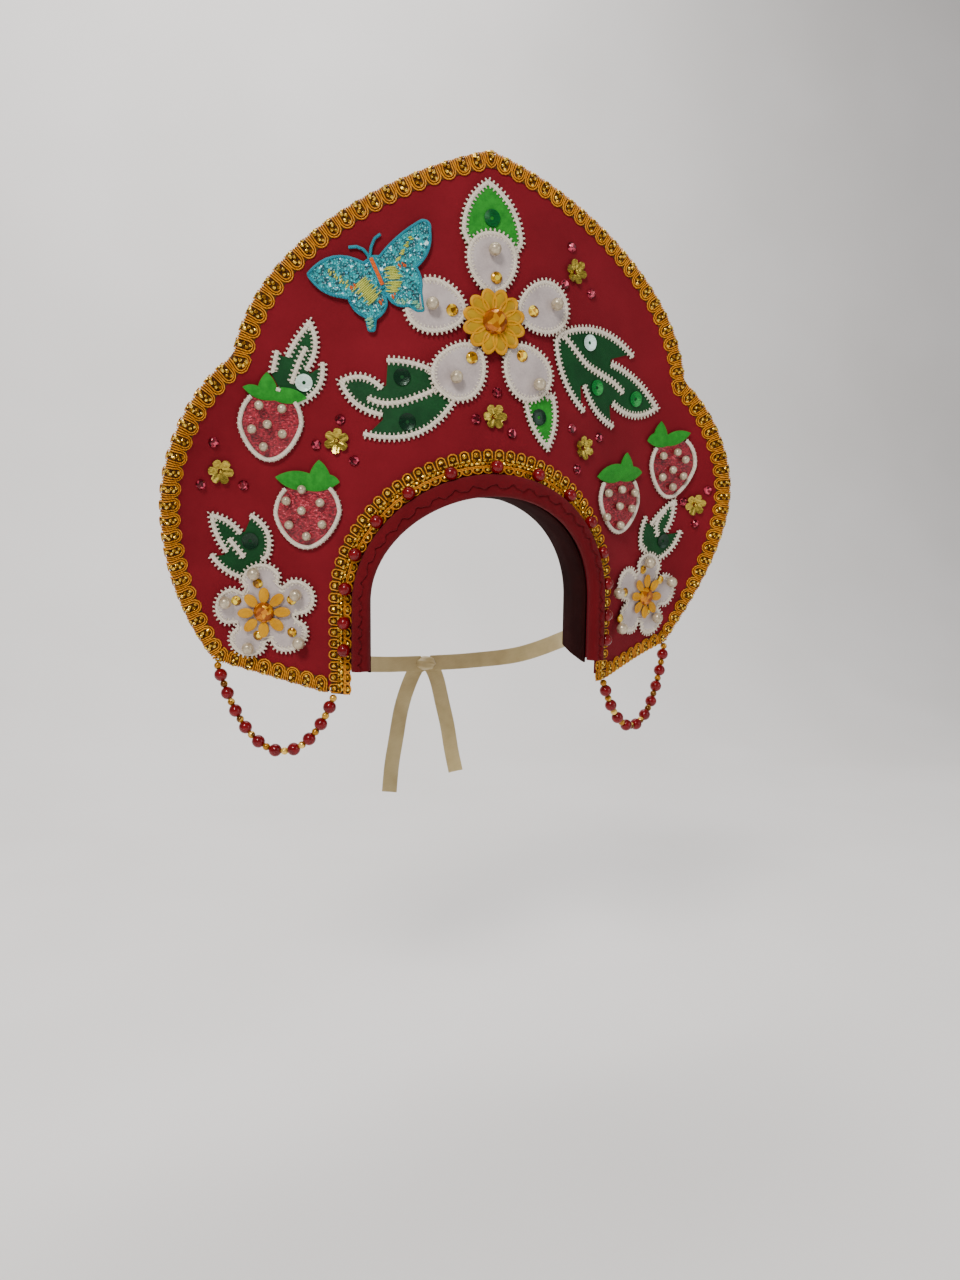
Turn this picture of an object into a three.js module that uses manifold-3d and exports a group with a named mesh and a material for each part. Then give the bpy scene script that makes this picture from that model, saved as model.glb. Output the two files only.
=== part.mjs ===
// A kokoshnik: a tall stiff crest of crimson cloth, bent round the forehead, with a braided edge, an arch for
// the face, a padded rim on a headband, sewn-on fruit and flowers, two bead swags and ribbon ties.
// Millimetres. X runs across the face, Y to the back of the head, Z up; the front faces -Y.
// The origin is where the crown of the head meets the inside of the headband.
import * as THREE from "three";
import { mergeVertices } from "three/addons/utils/BufferGeometryUtils.js";
import Module from "manifold-3d";

const wasm = await Module();
wasm.setup();

// Fit between pieces that touch on the real headdress
const GAP = 0.3;
const SWEPT_GAP = 0.6;

// Head hollow: the arch that the face looks out of
const HEAD_HALF_WIDTH = 74;
const HEAD_RISE = 65;
const BAND_THICK = 3;
const BAND_DEPTH = 48;
const BAND_FLARE = 5;
const BAND_LEG = 45;
const BAND_SLANT = 10;

// Crest board
const CREST_HALF_WIDTH = 195;
const CREST_TOP = 208;
const CREST_FOOT = -120;
const CREST_THICK = 4;
const CREST_BEND = 138;
const CREST_BEND_FADE = 119;
const CREST_FLARE = 101;
const CREST_LEAN = 6.5;

// Braids
const EDGE_BRAID_WIDTH = 11;
const BACK_BRAID_WIDTH = 8;
const EDGE_BRAID_THICK = 2;
const ARCH_BRAID_WIDTH = 16;
const ARCH_BRAID_THICK = 2;
const ARCH_BRAID_HANG = 4;

// Padded rim: its face is wider over the forehead than down the temples
const RIM_TOP_WIDTH = 14;
const RIM_SIDE_WIDTH = 10;
const RIM_PROUD = 11;
const RIM_LEG = 43;

// Sewn-on pieces
const FELT_THICK = 1.5;
const FLOWER_REACH = 56;
const BLOSSOM_REACH = 32;
const STRAWBERRY_WIDTH = 41;
const BUTTERFLY_SPAN = 78;
const BUTTERFLY_THICK = 2;
const DAISY_RADIUS = 19.5;
const DAISY_THICK = 2.5;
const ROSETTE_RADIUS = 16;
const ROSETTE_THICK = 2;
const SEQUIN_RADIUS = 7.5;
const SEQUIN_THICK = 0.8;

// Beads, pearls and stones
const PEARL_RADIUS = 3.8;
const STONE_RADIUS = 7.5;
const STONE_HEIGHT = 4.5;
const BLOSSOM_STONE_RADIUS = 6.5;
const RED_BEAD_RADIUS = 4;
const GOLD_BEAD_RADIUS = 2.5;
const BEAD_SINK = 0.18;
const RED_BEADS_PER_SWAG = 10;
const BEAD_SIDES = 10;

// Ribbon ties
const RIBBON_WIDTH = 12;
const RIBBON_THICK = 1;
const KNOT_RADIUS = 8;
const NAPE_BACK = 128;
const NAPE_DROP = 118;
const TAIL_LENGTH = 100;

const CREST_HEIGHT = CREST_TOP - CREST_FOOT;
const CREST_FRONT_Y = -(BAND_DEPTH / 2 + CREST_THICK);
const SPRING_Z = -HEAD_RISE;

const CLOTH = { color: 0x82161f, roughness: 0.9, metalness: 0 };
const GOLD_BRAID = { color: 0xc8902c, roughness: 0.5, metalness: 0.35 };
const ROLL = { color: 0x8e1420, roughness: 0.85, metalness: 0 };
const LINING = { color: 0x3a1a18, roughness: 0.95, metalness: 0 };
const RED_PEARL = { color: 0x960a1c, roughness: 0.2, metalness: 0.1 };
const SATIN = { color: 0xcfc6c8, roughness: 0.4, metalness: 0 };
const YELLOW = { color: 0xeab017, roughness: 0.35, metalness: 0 };
const AMBER = { color: 0xc88a1c, roughness: 0.08, metalness: 0.1 };
const LIGHT_GREEN = { color: 0x4a9b3a, roughness: 0.7, metalness: 0 };
const DARK_GREEN = { color: 0x1d5230, roughness: 0.75, metalness: 0 };
const TURQUOISE = { color: 0x2fa0ad, roughness: 0.4, metalness: 0.2 };
const BERRY = { color: 0xc83f58, roughness: 0.35, metalness: 0.3 };
const SEQUIN_GOLD = { color: 0xb8a048, roughness: 0.2, metalness: 0.9 };
const RIBBON = { color: 0xb9a06a, roughness: 0.4, metalness: 0 };

const headdress = new THREE.Group();

function addPiece(name, geometry, look) {
  const piece = new THREE.Mesh(geometry, new THREE.MeshStandardMaterial(look));
  piece.name = name;
  headdress.add(piece);
  return piece;
}

// Solids

function toSolid(geometry) {
  const bare = geometry.clone();
  bare.deleteAttribute("normal");
  bare.deleteAttribute("uv");
  const merged = mergeVertices(bare, 1e-4);
  return new wasm.Manifold(
    new wasm.Mesh({
      numProp: 3,
      vertProperties: new Float32Array(merged.attributes.position.array),
      triVerts: new Uint32Array(merged.index.array),
    }),
  );
}

function toGeometry(solid) {
  const mesh = solid.getMesh();
  const geometry = new THREE.BufferGeometry();
  geometry.setAttribute("position", new THREE.BufferAttribute(mesh.vertProperties, 3));
  geometry.setIndex(new THREE.BufferAttribute(mesh.triVerts, 1));
  return geometry;
}

function largestBody(solid) {
  const bodies = solid.decompose();
  return bodies.reduce((best, body) => (body.volume() > best.volume() ? body : best));
}

// Triangles that close a ring of points, wound the way the ring runs
function capTriangles(ring) {
  const normal = new THREE.Vector3();
  ring.forEach((point, i) => normal.add(point.clone().cross(ring[(i + 1) % ring.length])));
  normal.normalize();
  const right = ring[1].clone().sub(ring[0]).normalize();
  const up = normal.clone().cross(right);
  const flat = ring.map((point) => new THREE.Vector2(point.dot(right), point.dot(up)));
  return THREE.ShapeUtils.triangulateShape(flat, []);
}

// A closed skin over rings of points; each ring runs the same way round and both ends are capped.
function skinRings(rings) {
  const sides = rings[0].length;
  const positions = rings.flat().flatMap((point) => point.toArray());
  const faces = [];
  for (let i = 0; i < rings.length - 1; i++)
    for (let j = 0; j < sides; j++) {
      const a = i * sides + j;
      const b = i * sides + ((j + 1) % sides);
      faces.push(a, b, b + sides, a, b + sides, a + sides);
    }
  const last = (rings.length - 1) * sides;
  for (const [a, b, c] of capTriangles(rings[0])) faces.push(a, c, b);
  for (const [a, b, c] of capTriangles(rings[rings.length - 1])) faces.push(last + a, last + b, last + c);
  const geometry = new THREE.BufferGeometry();
  geometry.setAttribute("position", new THREE.Float32BufferAttribute(positions, 3));
  geometry.setIndex(faces);
  return facingOut(geometry);
}

function signedVolume(geometry) {
  const position = geometry.attributes.position;
  const index = geometry.index.array;
  const [a, b, c] = [new THREE.Vector3(), new THREE.Vector3(), new THREE.Vector3()];
  let volume = 0;
  for (let i = 0; i < index.length; i += 3) {
    a.fromBufferAttribute(position, index[i]);
    b.fromBufferAttribute(position, index[i + 1]);
    c.fromBufferAttribute(position, index[i + 2]);
    volume += a.dot(b.cross(c)) / 6;
  }
  return volume;
}

function facingOut(geometry) {
  if (signedVolume(geometry) < 0) {
    const index = geometry.index.array;
    for (let i = 0; i < index.length; i += 3) [index[i + 1], index[i + 2]] = [index[i + 2], index[i + 1]];
  }
  return geometry;
}

// The crest's bent surface. It wraps round the forehead, then its lobes flatten out sideways; every
// upright line on it stays straight, so it could be cut from flat board.

function crestY(x, z) {
  const u = x / CREST_HALF_WIDTH;
  const bend = CREST_BEND - (CREST_BEND_FADE * z) / CREST_HEIGHT;
  return CREST_FRONT_Y + bend * u ** 2 - CREST_FLARE * u ** 4 - (CREST_LEAN * z) / CREST_HEIGHT;
}

function crestNormal(x, z) {
  const step = 0.5;
  const slopeX = (crestY(x + step, z) - crestY(x - step, z)) / (2 * step);
  const slopeZ = (crestY(x, z + step) - crestY(x, z - step)) / (2 * step);
  return new THREE.Vector3(slopeX, -1, slopeZ).normalize();
}

function onCrest(x, z, height) {
  return new THREE.Vector3(x, crestY(x, z), z).addScaledVector(crestNormal(x, z), height);
}

// A sheet parallel to the crest, from one height in front of its face to another; behind it they are negative.
// Both faces are split into triangles the same way, so that sheets laid on each other stay parallel,
// and the left half mirrors the right.
const SHEET_COLUMNS = 30;
const SHEET_ROWS = 8;
const SHEET_MARGIN = 1.08;

function crestSheet(low, high) {
  const halfX = CREST_HALF_WIDTH * SHEET_MARGIN;
  const halfZ = (CREST_HEIGHT / 2) * SHEET_MARGIN;
  const middleZ = (CREST_TOP + CREST_FOOT) / 2;
  const positions = [];
  const faces = [];
  const across = SHEET_COLUMNS + 1;
  const layer = across * (SHEET_ROWS + 1);
  for (const height of [high, low])
    for (let j = 0; j <= SHEET_ROWS; j++)
      for (let i = 0; i <= SHEET_COLUMNS; i++) {
        const x = halfX * ((2 * i) / SHEET_COLUMNS - 1);
        const z = middleZ + halfZ * ((2 * j) / SHEET_ROWS - 1);
        positions.push(x, crestY(x, z) - height, z);
      }
  for (let j = 0; j < SHEET_ROWS; j++)
    for (let i = 0; i < SHEET_COLUMNS; i++) {
      const a = j * across + i;
      const b = a + 1;
      const c = b + across;
      const d = a + across;
      const halves = i < SHEET_COLUMNS / 2 ? [a, b, c, a, c, d] : [a, b, d, b, c, d];
      faces.push(...halves, ...halves.map((corner) => corner + layer).reverse());
    }
  const rim = [];
  for (let i = 0; i < SHEET_COLUMNS; i++) rim.push(i);
  for (let j = 0; j < SHEET_ROWS; j++) rim.push(j * across + SHEET_COLUMNS);
  for (let i = SHEET_COLUMNS; i > 0; i--) rim.push(SHEET_ROWS * across + i);
  for (let j = SHEET_ROWS; j > 0; j--) rim.push(j * across);
  rim.forEach((a, k) => {
    const b = rim[(k + 1) % rim.length];
    faces.push(a, a + layer, b + layer, a, b + layer, b);
  });
  const sheet = new THREE.BufferGeometry();
  sheet.setAttribute("position", new THREE.Float32BufferAttribute(positions, 3));
  sheet.setIndex(faces);
  return toSolid(facingOut(sheet));
}

const sheets = new Map();

function sheetBetween(low, high) {
  const key = low + " " + high;
  if (!sheets.has(key)) sheets.set(key, crestSheet(low, high));
  return sheets.get(key);
}

const PRISM_REACH = CREST_HALF_WIDTH * 2;

function prismOf(points) {
  const shape = new THREE.Shape(points);
  const prism = new THREE.ExtrudeGeometry(shape, { depth: 2 * PRISM_REACH, bevelEnabled: false });
  prism.translate(0, 0, -PRISM_REACH);
  prism.rotateX(Math.PI / 2);
  return toSolid(prism);
}

// Flat outlines, seen from the front

// Each row is a corner: x, z, and the bulge of the side that leads to it, as a share of that side.
function curvedOutline(rows, size, centre, stepsPerSide = 3) {
  const corners = rows.map(([x, z]) => new THREE.Vector2(x, z).multiplyScalar(size).add(centre));
  const points = [];
  rows.forEach(([, , bulge = 0], i) => {
    const from = corners[(i + corners.length - 1) % corners.length];
    const to = corners[i];
    const side = to.clone().sub(from);
    const bow = new THREE.Vector2(-side.y, side.x).multiplyScalar(2 * bulge);
    const middle = from.clone().add(to).multiplyScalar(0.5).add(bow);
    const curve = new THREE.QuadraticBezierCurve(from, middle, to);
    const steps = bulge === 0 ? 1 : stepsPerSide;
    for (let k = 1; k <= steps; k++) points.push(curve.getPoint(k / steps));
  });
  return points;
}

function polarOutline(centre, steps, radiusAt, start = 0) {
  return Array.from({ length: steps }, (_, i) => {
    const angle = start + (2 * Math.PI * i) / steps;
    return new THREE.Vector2(Math.cos(angle), Math.sin(angle)).multiplyScalar(radiusAt(angle)).add(centre);
  });
}

function grownOutline(points, distance) {
  const turn = Math.sign(THREE.ShapeUtils.area(points));
  return points.map((point, i) => {
    const before = points[(i + points.length - 1) % points.length];
    const after = points[(i + 1) % points.length];
    const into = point.clone().sub(before).normalize();
    const out = after.clone().sub(point).normalize();
    const along = into.clone().add(out).normalize();
    const spread = Math.max(0.5, along.dot(out));
    return point.clone().add(new THREE.Vector2(along.y, -along.x).multiplyScalar((turn * distance) / spread));
  });
}

// A place on the crest: x as a share of its half width, z as a share of its height above the foot.
function crestPlace(shareX, shareZ) {
  return new THREE.Vector2(shareX * CREST_HALF_WIDTH, CREST_FOOT + shareZ * CREST_HEIGHT);
}

// Curves of the crest's right half: end and control points as shares of half width and height.
const CREST_CURVES = [
  { from: [0, 1], leave: [0.318, 0.945], reach: [0.715, 0.823], to: [0.78, 0.616], steps: 10 },
  { from: [0.78, 0.616], leave: [0.89, 0.572], reach: [1, 0.457], to: [1, 0.343], steps: 7 },
  { from: [1, 0.343], leave: [1, 0.238], reach: [0.938, 0.137], to: [0.851, 0.061], steps: 6 },
];
const FOOT_STEPS = 5;
const INNER_FOOT_X = HEAD_HALF_WIDTH + RIM_SIDE_WIDTH + ARCH_BRAID_WIDTH + EDGE_BRAID_WIDTH * 0.32;

function crestEdge() {
  const points = [crestPlace(0, 1)];
  for (const { from, leave, reach, to, steps } of CREST_CURVES) {
    const curve = new THREE.CubicBezierCurve(
      crestPlace(...from),
      crestPlace(...leave),
      crestPlace(...reach),
      crestPlace(...to),
    );
    points.push(...curve.getPoints(steps).slice(1));
  }
  const corner = points[points.length - 1];
  const foot = new THREE.Vector2(INNER_FOOT_X, CREST_FOOT);
  for (let k = 1; k <= FOOT_STEPS; k++) points.push(corner.clone().lerp(foot, k / FOOT_STEPS));
  return points;
}

const rightEdge = crestEdge();
const leftEdge = rightEdge.slice(1).map((point) => new THREE.Vector2(-point.x, point.y));
const wholeEdge = [...leftEdge.reverse(), ...rightEdge];

// The arch: an ellipse over two upright legs, at a distance outside the head line.
// Rows give the leg's foot below the spring line; the distance may change from the top to the sides.
const ARCH_STEPS = 20;
const LEG_STEPS = 3;

function archLine(topOffset, sideOffset, leg) {
  const points = [];
  const legX = HEAD_HALF_WIDTH + sideOffset;
  for (let k = LEG_STEPS; k > 0; k--) points.push(new THREE.Vector2(-legX, SPRING_Z - (leg * k) / LEG_STEPS));
  for (let k = 0; k <= ARCH_STEPS; k++) {
    const angle = Math.PI * (1 - k / ARCH_STEPS);
    const rise = HEAD_RISE + topOffset;
    points.push(new THREE.Vector2(legX * Math.cos(angle), SPRING_Z + rise * Math.sin(angle)));
  }
  for (let k = 1; k <= LEG_STEPS; k++) points.push(new THREE.Vector2(legX, SPRING_Z - (leg * k) / LEG_STEPS));
  return points;
}

const CREST_LEG = SPRING_Z - CREST_FOOT;

// A strip laid along lines on the crest. Each corner of its section has a line and a height before the face.
function laidStrip(corners) {
  const stations = corners[0].line.length;
  const rings = [];
  for (let i = 0; i < stations; i++)
    rings.push(
      corners.map(({ line, height, flare = 0 }) => {
        const { x, y: z } = line[i];
        const point = new THREE.Vector3(x, crestY(x, z) - height, z);
        const outward = new THREE.Vector3(x / HEAD_HALF_WIDTH, 0, (z - SPRING_Z) / HEAD_RISE);
        if (outward.z < 0) outward.z = 0;
        return point.addScaledVector(outward.normalize(), flare);
      }),
    );
  return skinRings(rings);
}

// Crest board: one sheet of stiffened cloth-covered card with the arch cut out

const openingOffset = BAND_THICK + GAP;
const opening = archLine(openingOffset, openingOffset, CREST_LEG);
const boardOutline = [...wholeEdge, ...opening.slice().reverse()];
const board = prismOf(boardOutline).intersect(sheetBetween(-CREST_THICK, 0));
addPiece("crest_panel", toGeometry(board), CLOTH);

// Edge braid: folded over the board's edge, wider at the front

function edgeLine(distance) {
  const turn = -1;
  return wholeEdge.map((point, i) => {
    const before = wholeEdge[Math.max(0, i - 1)];
    const after = wholeEdge[Math.min(wholeEdge.length - 1, i + 1)];
    const into = i === 0 ? after.clone().sub(point) : point.clone().sub(before);
    const out = i === wholeEdge.length - 1 ? into.clone() : after.clone().sub(point);
    const along = into.normalize().add(out.normalize()).normalize();
    const spread = Math.max(0.6, along.dot(out));
    return point.clone().add(new THREE.Vector2(along.y, -along.x).multiplyScalar((turn * distance) / spread));
  });
}

const braidOuter = edgeLine(GAP + EDGE_BRAID_THICK);
const braidSeat = edgeLine(GAP);
const braidFront = edgeLine(EDGE_BRAID_THICK - EDGE_BRAID_WIDTH);
const braidBack = edgeLine(EDGE_BRAID_THICK - BACK_BRAID_WIDTH);
const frontSeat = SWEPT_GAP;
const backSeat = -CREST_THICK - SWEPT_GAP;
addPiece(
  "edge_braid",
  laidStrip([
    { line: braidFront, height: frontSeat },
    { line: braidFront, height: frontSeat + EDGE_BRAID_THICK },
    { line: braidOuter, height: frontSeat + EDGE_BRAID_THICK },
    { line: braidOuter, height: backSeat - EDGE_BRAID_THICK },
    { line: braidBack, height: backSeat - EDGE_BRAID_THICK },
    { line: braidBack, height: backSeat },
    { line: braidSeat, height: backSeat },
    { line: braidSeat, height: frontSeat },
  ]),
  GOLD_BRAID,
);

// Arch braid: flat on the board round the arch, a little longer than the board's foot

const archLeg = CREST_LEG + ARCH_BRAID_HANG;
const archInner = archLine(RIM_TOP_WIDTH + GAP, RIM_SIDE_WIDTH + GAP, archLeg);
const archOuterTop = RIM_TOP_WIDTH + ARCH_BRAID_WIDTH;
const archOuterSide = RIM_SIDE_WIDTH + ARCH_BRAID_WIDTH - GAP;
const archOuter = archLine(archOuterTop, archOuterSide, archLeg);
addPiece(
  "arch_braid",
  laidStrip([
    { line: archInner, height: SWEPT_GAP },
    { line: archInner, height: SWEPT_GAP + ARCH_BRAID_THICK },
    { line: archOuter, height: SWEPT_GAP + ARCH_BRAID_THICK },
    { line: archOuter, height: SWEPT_GAP },
  ]),
  GOLD_BRAID,
);

// Padded rim: a stuffed roll on the front edge of the headband

const RIM_SIDES = 8;
const RIM_SQUARENESS = 0.75;

function rimCorner(k) {
  const angle = (2 * Math.PI * k) / RIM_SIDES;
  const across = Math.sign(Math.cos(angle)) * Math.abs(Math.cos(angle)) ** RIM_SQUARENESS;
  const forward = Math.sign(Math.sin(angle)) * Math.abs(Math.sin(angle)) ** RIM_SQUARENESS;
  const share = (1 + across) / 2;
  const halfProud = (RIM_PROUD - SWEPT_GAP) / 2;
  return {
    line: archLine(share * RIM_TOP_WIDTH, share * RIM_SIDE_WIDTH, RIM_LEG),
    height: SWEPT_GAP + halfProud * (1 + forward),
  };
}

addPiece("rim_roll", laidStrip(Array.from({ length: RIM_SIDES }, (_, k) => rimCorner(k))), ROLL);

// Headband: a stiff lined strip through the arch, running back over the head

const bandInner = archLine(0, 0, BAND_LEG);
const bandOuter = archLine(BAND_THICK, BAND_THICK, BAND_LEG);
const bandBackInner = archLine(0, 0, BAND_LEG - BAND_SLANT);
const bandBackOuter = archLine(BAND_THICK, BAND_THICK, BAND_LEG - BAND_SLANT);
addPiece(
  "headband",
  laidStrip([
    { line: bandInner, height: 0 },
    { line: bandOuter, height: 0 },
    { line: bandOuter, height: -BAND_DEPTH / 2, flare: BAND_FLARE / 4 },
    { line: bandBackOuter, height: -BAND_DEPTH, flare: BAND_FLARE },
    { line: bandBackInner, height: -BAND_DEPTH, flare: BAND_FLARE },
    { line: bandInner, height: -BAND_DEPTH / 2, flare: BAND_FLARE / 4 },
  ]),
  LINING,
);

// Red pearls on the inner edge of the arch braid, from the middle down each side

const ARCH_BEAD_SHARES = [0.17, 0.332, 0.481, 0.621, 0.753, 0.882, 0.986];
const beadTop = RIM_TOP_WIDTH + RED_BEAD_RADIUS + GAP;
const beadSide = RIM_SIDE_WIDTH + RED_BEAD_RADIUS + GAP;
const BEAD_LEG = 32;
const beadHeight = SWEPT_GAP + ARCH_BRAID_THICK + GAP + RED_BEAD_RADIUS;

function ballGeometry(radius, rings) {
  const profile = Array.from({ length: rings + 1 }, (_, k) => {
    const angle = -Math.PI / 2 + (Math.PI * k) / rings;
    const x = k === 0 || k === rings ? 0 : radius * Math.cos(angle);
    return new THREE.Vector2(x, radius * Math.sin(angle));
  });
  return new THREE.LatheGeometry(profile, BEAD_SIDES);
}

function archBeadPlaces() {
  const halfArch = archLine(beadTop, beadSide, BEAD_LEG).slice(LEG_STEPS + ARCH_STEPS / 2);
  const run = new THREE.CurvePath();
  for (let i = 0; i < halfArch.length - 1; i++) run.add(new THREE.LineCurve(halfArch[i], halfArch[i + 1]));
  const right = ARCH_BEAD_SHARES.map((share) => run.getPoint(share));
  const left = right.map((point) => new THREE.Vector2(-point.x, point.y)).reverse();
  return [...left, halfArch[0], ...right];
}

archBeadPlaces().forEach(({ x, y: z }, i) => {
  const bead = addPiece("arch_bead_" + String(i + 1).padStart(2, "0"), ballGeometry(RED_BEAD_RADIUS, 4), RED_PEARL);
  bead.position.set(x, crestY(x, z) - beadHeight / -crestNormal(x, z).y, z);
});

// Sewn-on pieces. What is laid later is cut clear of what is laid already.

const laid = [];

function keepClear(points, distance = GAP) {
  laid.push(prismOf(grownOutline(points, distance)));
}

keepClear([...braidFront, ...edgeLine(EDGE_BRAID_WIDTH).reverse()], SWEPT_GAP);
keepClear([...archOuter, ...archInner.slice().reverse()], SWEPT_GAP);

function cutPiece(points, thick, raised = []) {
  let piece = prismOf(points).intersect(sheetBetween(GAP, GAP + thick));
  for (const stone of raised) piece = piece.add(stone);
  for (const other of laid) piece = piece.subtract(other);
  return largestBody(piece);
}

function pearlOn({ x, y: z }, radius, profile, sunk) {
  const pearl = new THREE.LatheGeometry(
    profile.map(([r, h]) => new THREE.Vector2(r * radius, h * radius)),
    BEAD_SIDES,
  );
  pearl.applyQuaternion(
    new THREE.Quaternion().setFromUnitVectors(new THREE.Vector3(0, 1, 0), crestNormal(x, z)),
  );
  const seat = onCrest(x, z, sunk);
  pearl.translate(seat.x, seat.y, seat.z);
  return toSolid(pearl);
}

// Profiles from the seat up, as shares of the radius
const PEARL_PROFILE = [
  [0, -0.15],
  [0.75, -0.15],
  [1, 0.9],
  [0.5, 1.7],
  [0, 1.7],
];
const CUT_STONE_PROFILE = [
  [0, -0.1],
  [1, -0.1],
  [1, 0.25],
  [0.55, 0.6],
  [0, 0.6],
];

function pearlsOn(places) {
  return places.map((place) => pearlOn(place, PEARL_RADIUS, PEARL_PROFILE, GAP + FELT_THICK));
}

// Butterfly patch: corners clockwise from the left wing's tip, as shares of the wing span
const BUTTERFLY_CORNERS = [
  [-0.5, 0.03, 0.12],
  [-0.08, 0.12, 0.2],
  [-0.01, 0.17],
  [0.04, 0.17],
  [0.36, 0.45, 0.05],
  [0.42, 0.38, 0.3],
  [0.31, 0.1, 0.14],
  [0.35, -0.08, 0.1],
  [0.37, -0.23],
  [0.32, -0.23],
  [0.26, -0.19],
  [0.09, -0.1, 0.2],
  [0.05, -0.08],
  [0.09, -0.19, 0.1],
  [0.01, -0.29, 0.1],
  [0, -0.38],
  [-0.04, -0.38],
  [-0.06, -0.28],
  [-0.19, -0.14, 0.12],
  [-0.24, -0.13],
];
const ANTENNAE = [
  [[-0.02, 0.15], [-0.09, 0.23], [-0.21, 0.245], [-0.21, 0.275], [-0.07, 0.265], [0.02, 0.17]],
  [[-0.01, 0.15], [-0.02, 0.25], [0.04, 0.35], [0.07, 0.34], [0.02, 0.24], [0.03, 0.16]],
];
const butterflyCentre = crestPlace(-0.369, 0.762);
const butterflyOutline = curvedOutline(BUTTERFLY_CORNERS, BUTTERFLY_SPAN, butterflyCentre);
const antennaSolids = ANTENNAE.map((rows) => cutPiece(curvedOutline(rows, BUTTERFLY_SPAN, butterflyCentre), BUTTERFLY_THICK));
const butterfly = antennaSolids.reduce((all, one) => all.add(one), cutPiece(butterflyOutline, BUTTERFLY_THICK));
keepClear(butterflyOutline);
addPiece("butterfly", toGeometry(butterfly), TURQUOISE);

// Large flower: five satin petals with a pearl each, under a yellow daisy with a cut stone
const PETALS = [
  { angle: 90, pearl: 0.77 },
  { angle: 167, pearl: 0.7 },
  { angle: 19, pearl: 0.79 },
  { angle: 235, pearl: 0.75 },
  { angle: 309, pearl: 0.83 },
];
const PETAL_INNER = 0.3;
const PETAL_WIDTH = 0.61;
const PETAL_EGG = 0.16;
const PETAL_STEPS = 14;
const flowerCentre = crestPlace(0, 0.692);

function petalOutline(angle) {
  const middle = (1 + PETAL_INNER) / 2;
  const half = (1 - PETAL_INNER) / 2;
  const turn = THREE.MathUtils.degToRad(angle);
  return Array.from({ length: PETAL_STEPS }, (_, k) => {
    const t = (2 * Math.PI * k) / PETAL_STEPS;
    const out = middle + half * Math.cos(t);
    const across = (PETAL_WIDTH / 2) * Math.sin(t) * (1 + PETAL_EGG * Math.cos(t));
    const point = new THREE.Vector2(out, across).multiplyScalar(FLOWER_REACH);
    return point.rotateAround(new THREE.Vector2(), turn).add(flowerCentre);
  });
}

function fromCentre(centre, reach, angle) {
  const turn = THREE.MathUtils.degToRad(angle);
  return new THREE.Vector2(Math.cos(turn), Math.sin(turn)).multiplyScalar(reach).add(centre);
}

PETALS.forEach(({ angle, pearl }, i) => {
  const outline = petalOutline(angle);
  const pearls = pearlsOn([fromCentre(flowerCentre, pearl * FLOWER_REACH, angle)]);
  const petal = cutPiece(outline, FELT_THICK, pearls);
  keepClear(outline);
  addPiece("petal_" + (i + 1), toGeometry(petal), SATIN);
});

function flowerDisc(centre, radius, petals, notch, thick, steps) {
  const outline = polarOutline(centre, steps, (angle) => {
    return radius * (1 - notch + notch * Math.sqrt(Math.abs(Math.cos((petals * angle) / 2))));
  });
  const seat = GAP + FELT_THICK + GAP;
  return prismOf(outline).intersect(sheetBetween(seat, seat + thick));
}

const daisy = flowerDisc(flowerCentre, DAISY_RADIUS, 12, 0.14, DAISY_THICK, 36);
addPiece("daisy", toGeometry(daisy), YELLOW);

const stoneSeat = GAP + FELT_THICK + GAP + DAISY_THICK + SWEPT_GAP;
const stoneProfile = [
  [0, 0],
  [1, 0],
  [1, 0.35],
  [0.6, 1],
  [0, 1],
].map(([r, h]) => new THREE.Vector2(r * STONE_RADIUS, h * STONE_HEIGHT));
const stone = addPiece("daisy_stone", new THREE.LatheGeometry(stoneProfile, 12), AMBER);
stone.position.copy(onCrest(flowerCentre.x, flowerCentre.y, stoneSeat));
stone.quaternion.setFromUnitVectors(new THREE.Vector3(0, 1, 0), crestNormal(flowerCentre.x, flowerCentre.y));

// Leaves round the large flower: corners clockwise, as shares of the flower's reach from its centre
const FLOWER_LEAVES = [
  {
    name: "leaf_top",
    look: LIGHT_GREEN,
    corners: [[-0.04, 1.55, 0.14], [0.39, 0.89, 0.14], [0, 0.55, 0.1], [-0.36, 0.96, 0.1]],
  },
  {
    name: "leaf_low",
    look: LIGHT_GREEN,
    corners: [[0.36, -0.75, 0.12], [0.79, -0.71], [0.7, -1.39, 0.12]],
  },
  {
    name: "leaf_left",
    look: DARK_GREEN,
    corners: [
      [-1.68, -0.63, 0.15],
      [-1.18, -0.7, 0.2],
      [-1.16, -0.39],
      [-0.7, -0.48, 0.05],
      [-0.38, -0.82],
      [-1.41, -1.25, 0.2],
      [-1.21, -1.05],
    ],
  },
  {
    name: "leaf_right",
    look: DARK_GREEN,
    corners: [
      [0.86, 0],
      [1.98, -0.14, 0.15],
      [1.62, -0.25],
      [2.43, -0.75, 0.09],
      [1.64, -0.77, 0.17],
      [1.68, -1.05],
      [1.18, -0.59, 0.12],
      [1.2, -0.91],
      [0.77, -0.11, 0.12],
    ],
  },
];

for (const { name, look, corners } of FLOWER_LEAVES) {
  const outline = curvedOutline(corners, FLOWER_REACH, flowerCentre);
  addPiece(name, toGeometry(cutPiece(outline, FELT_THICK)), look);
  keepClear(outline);
}

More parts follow.
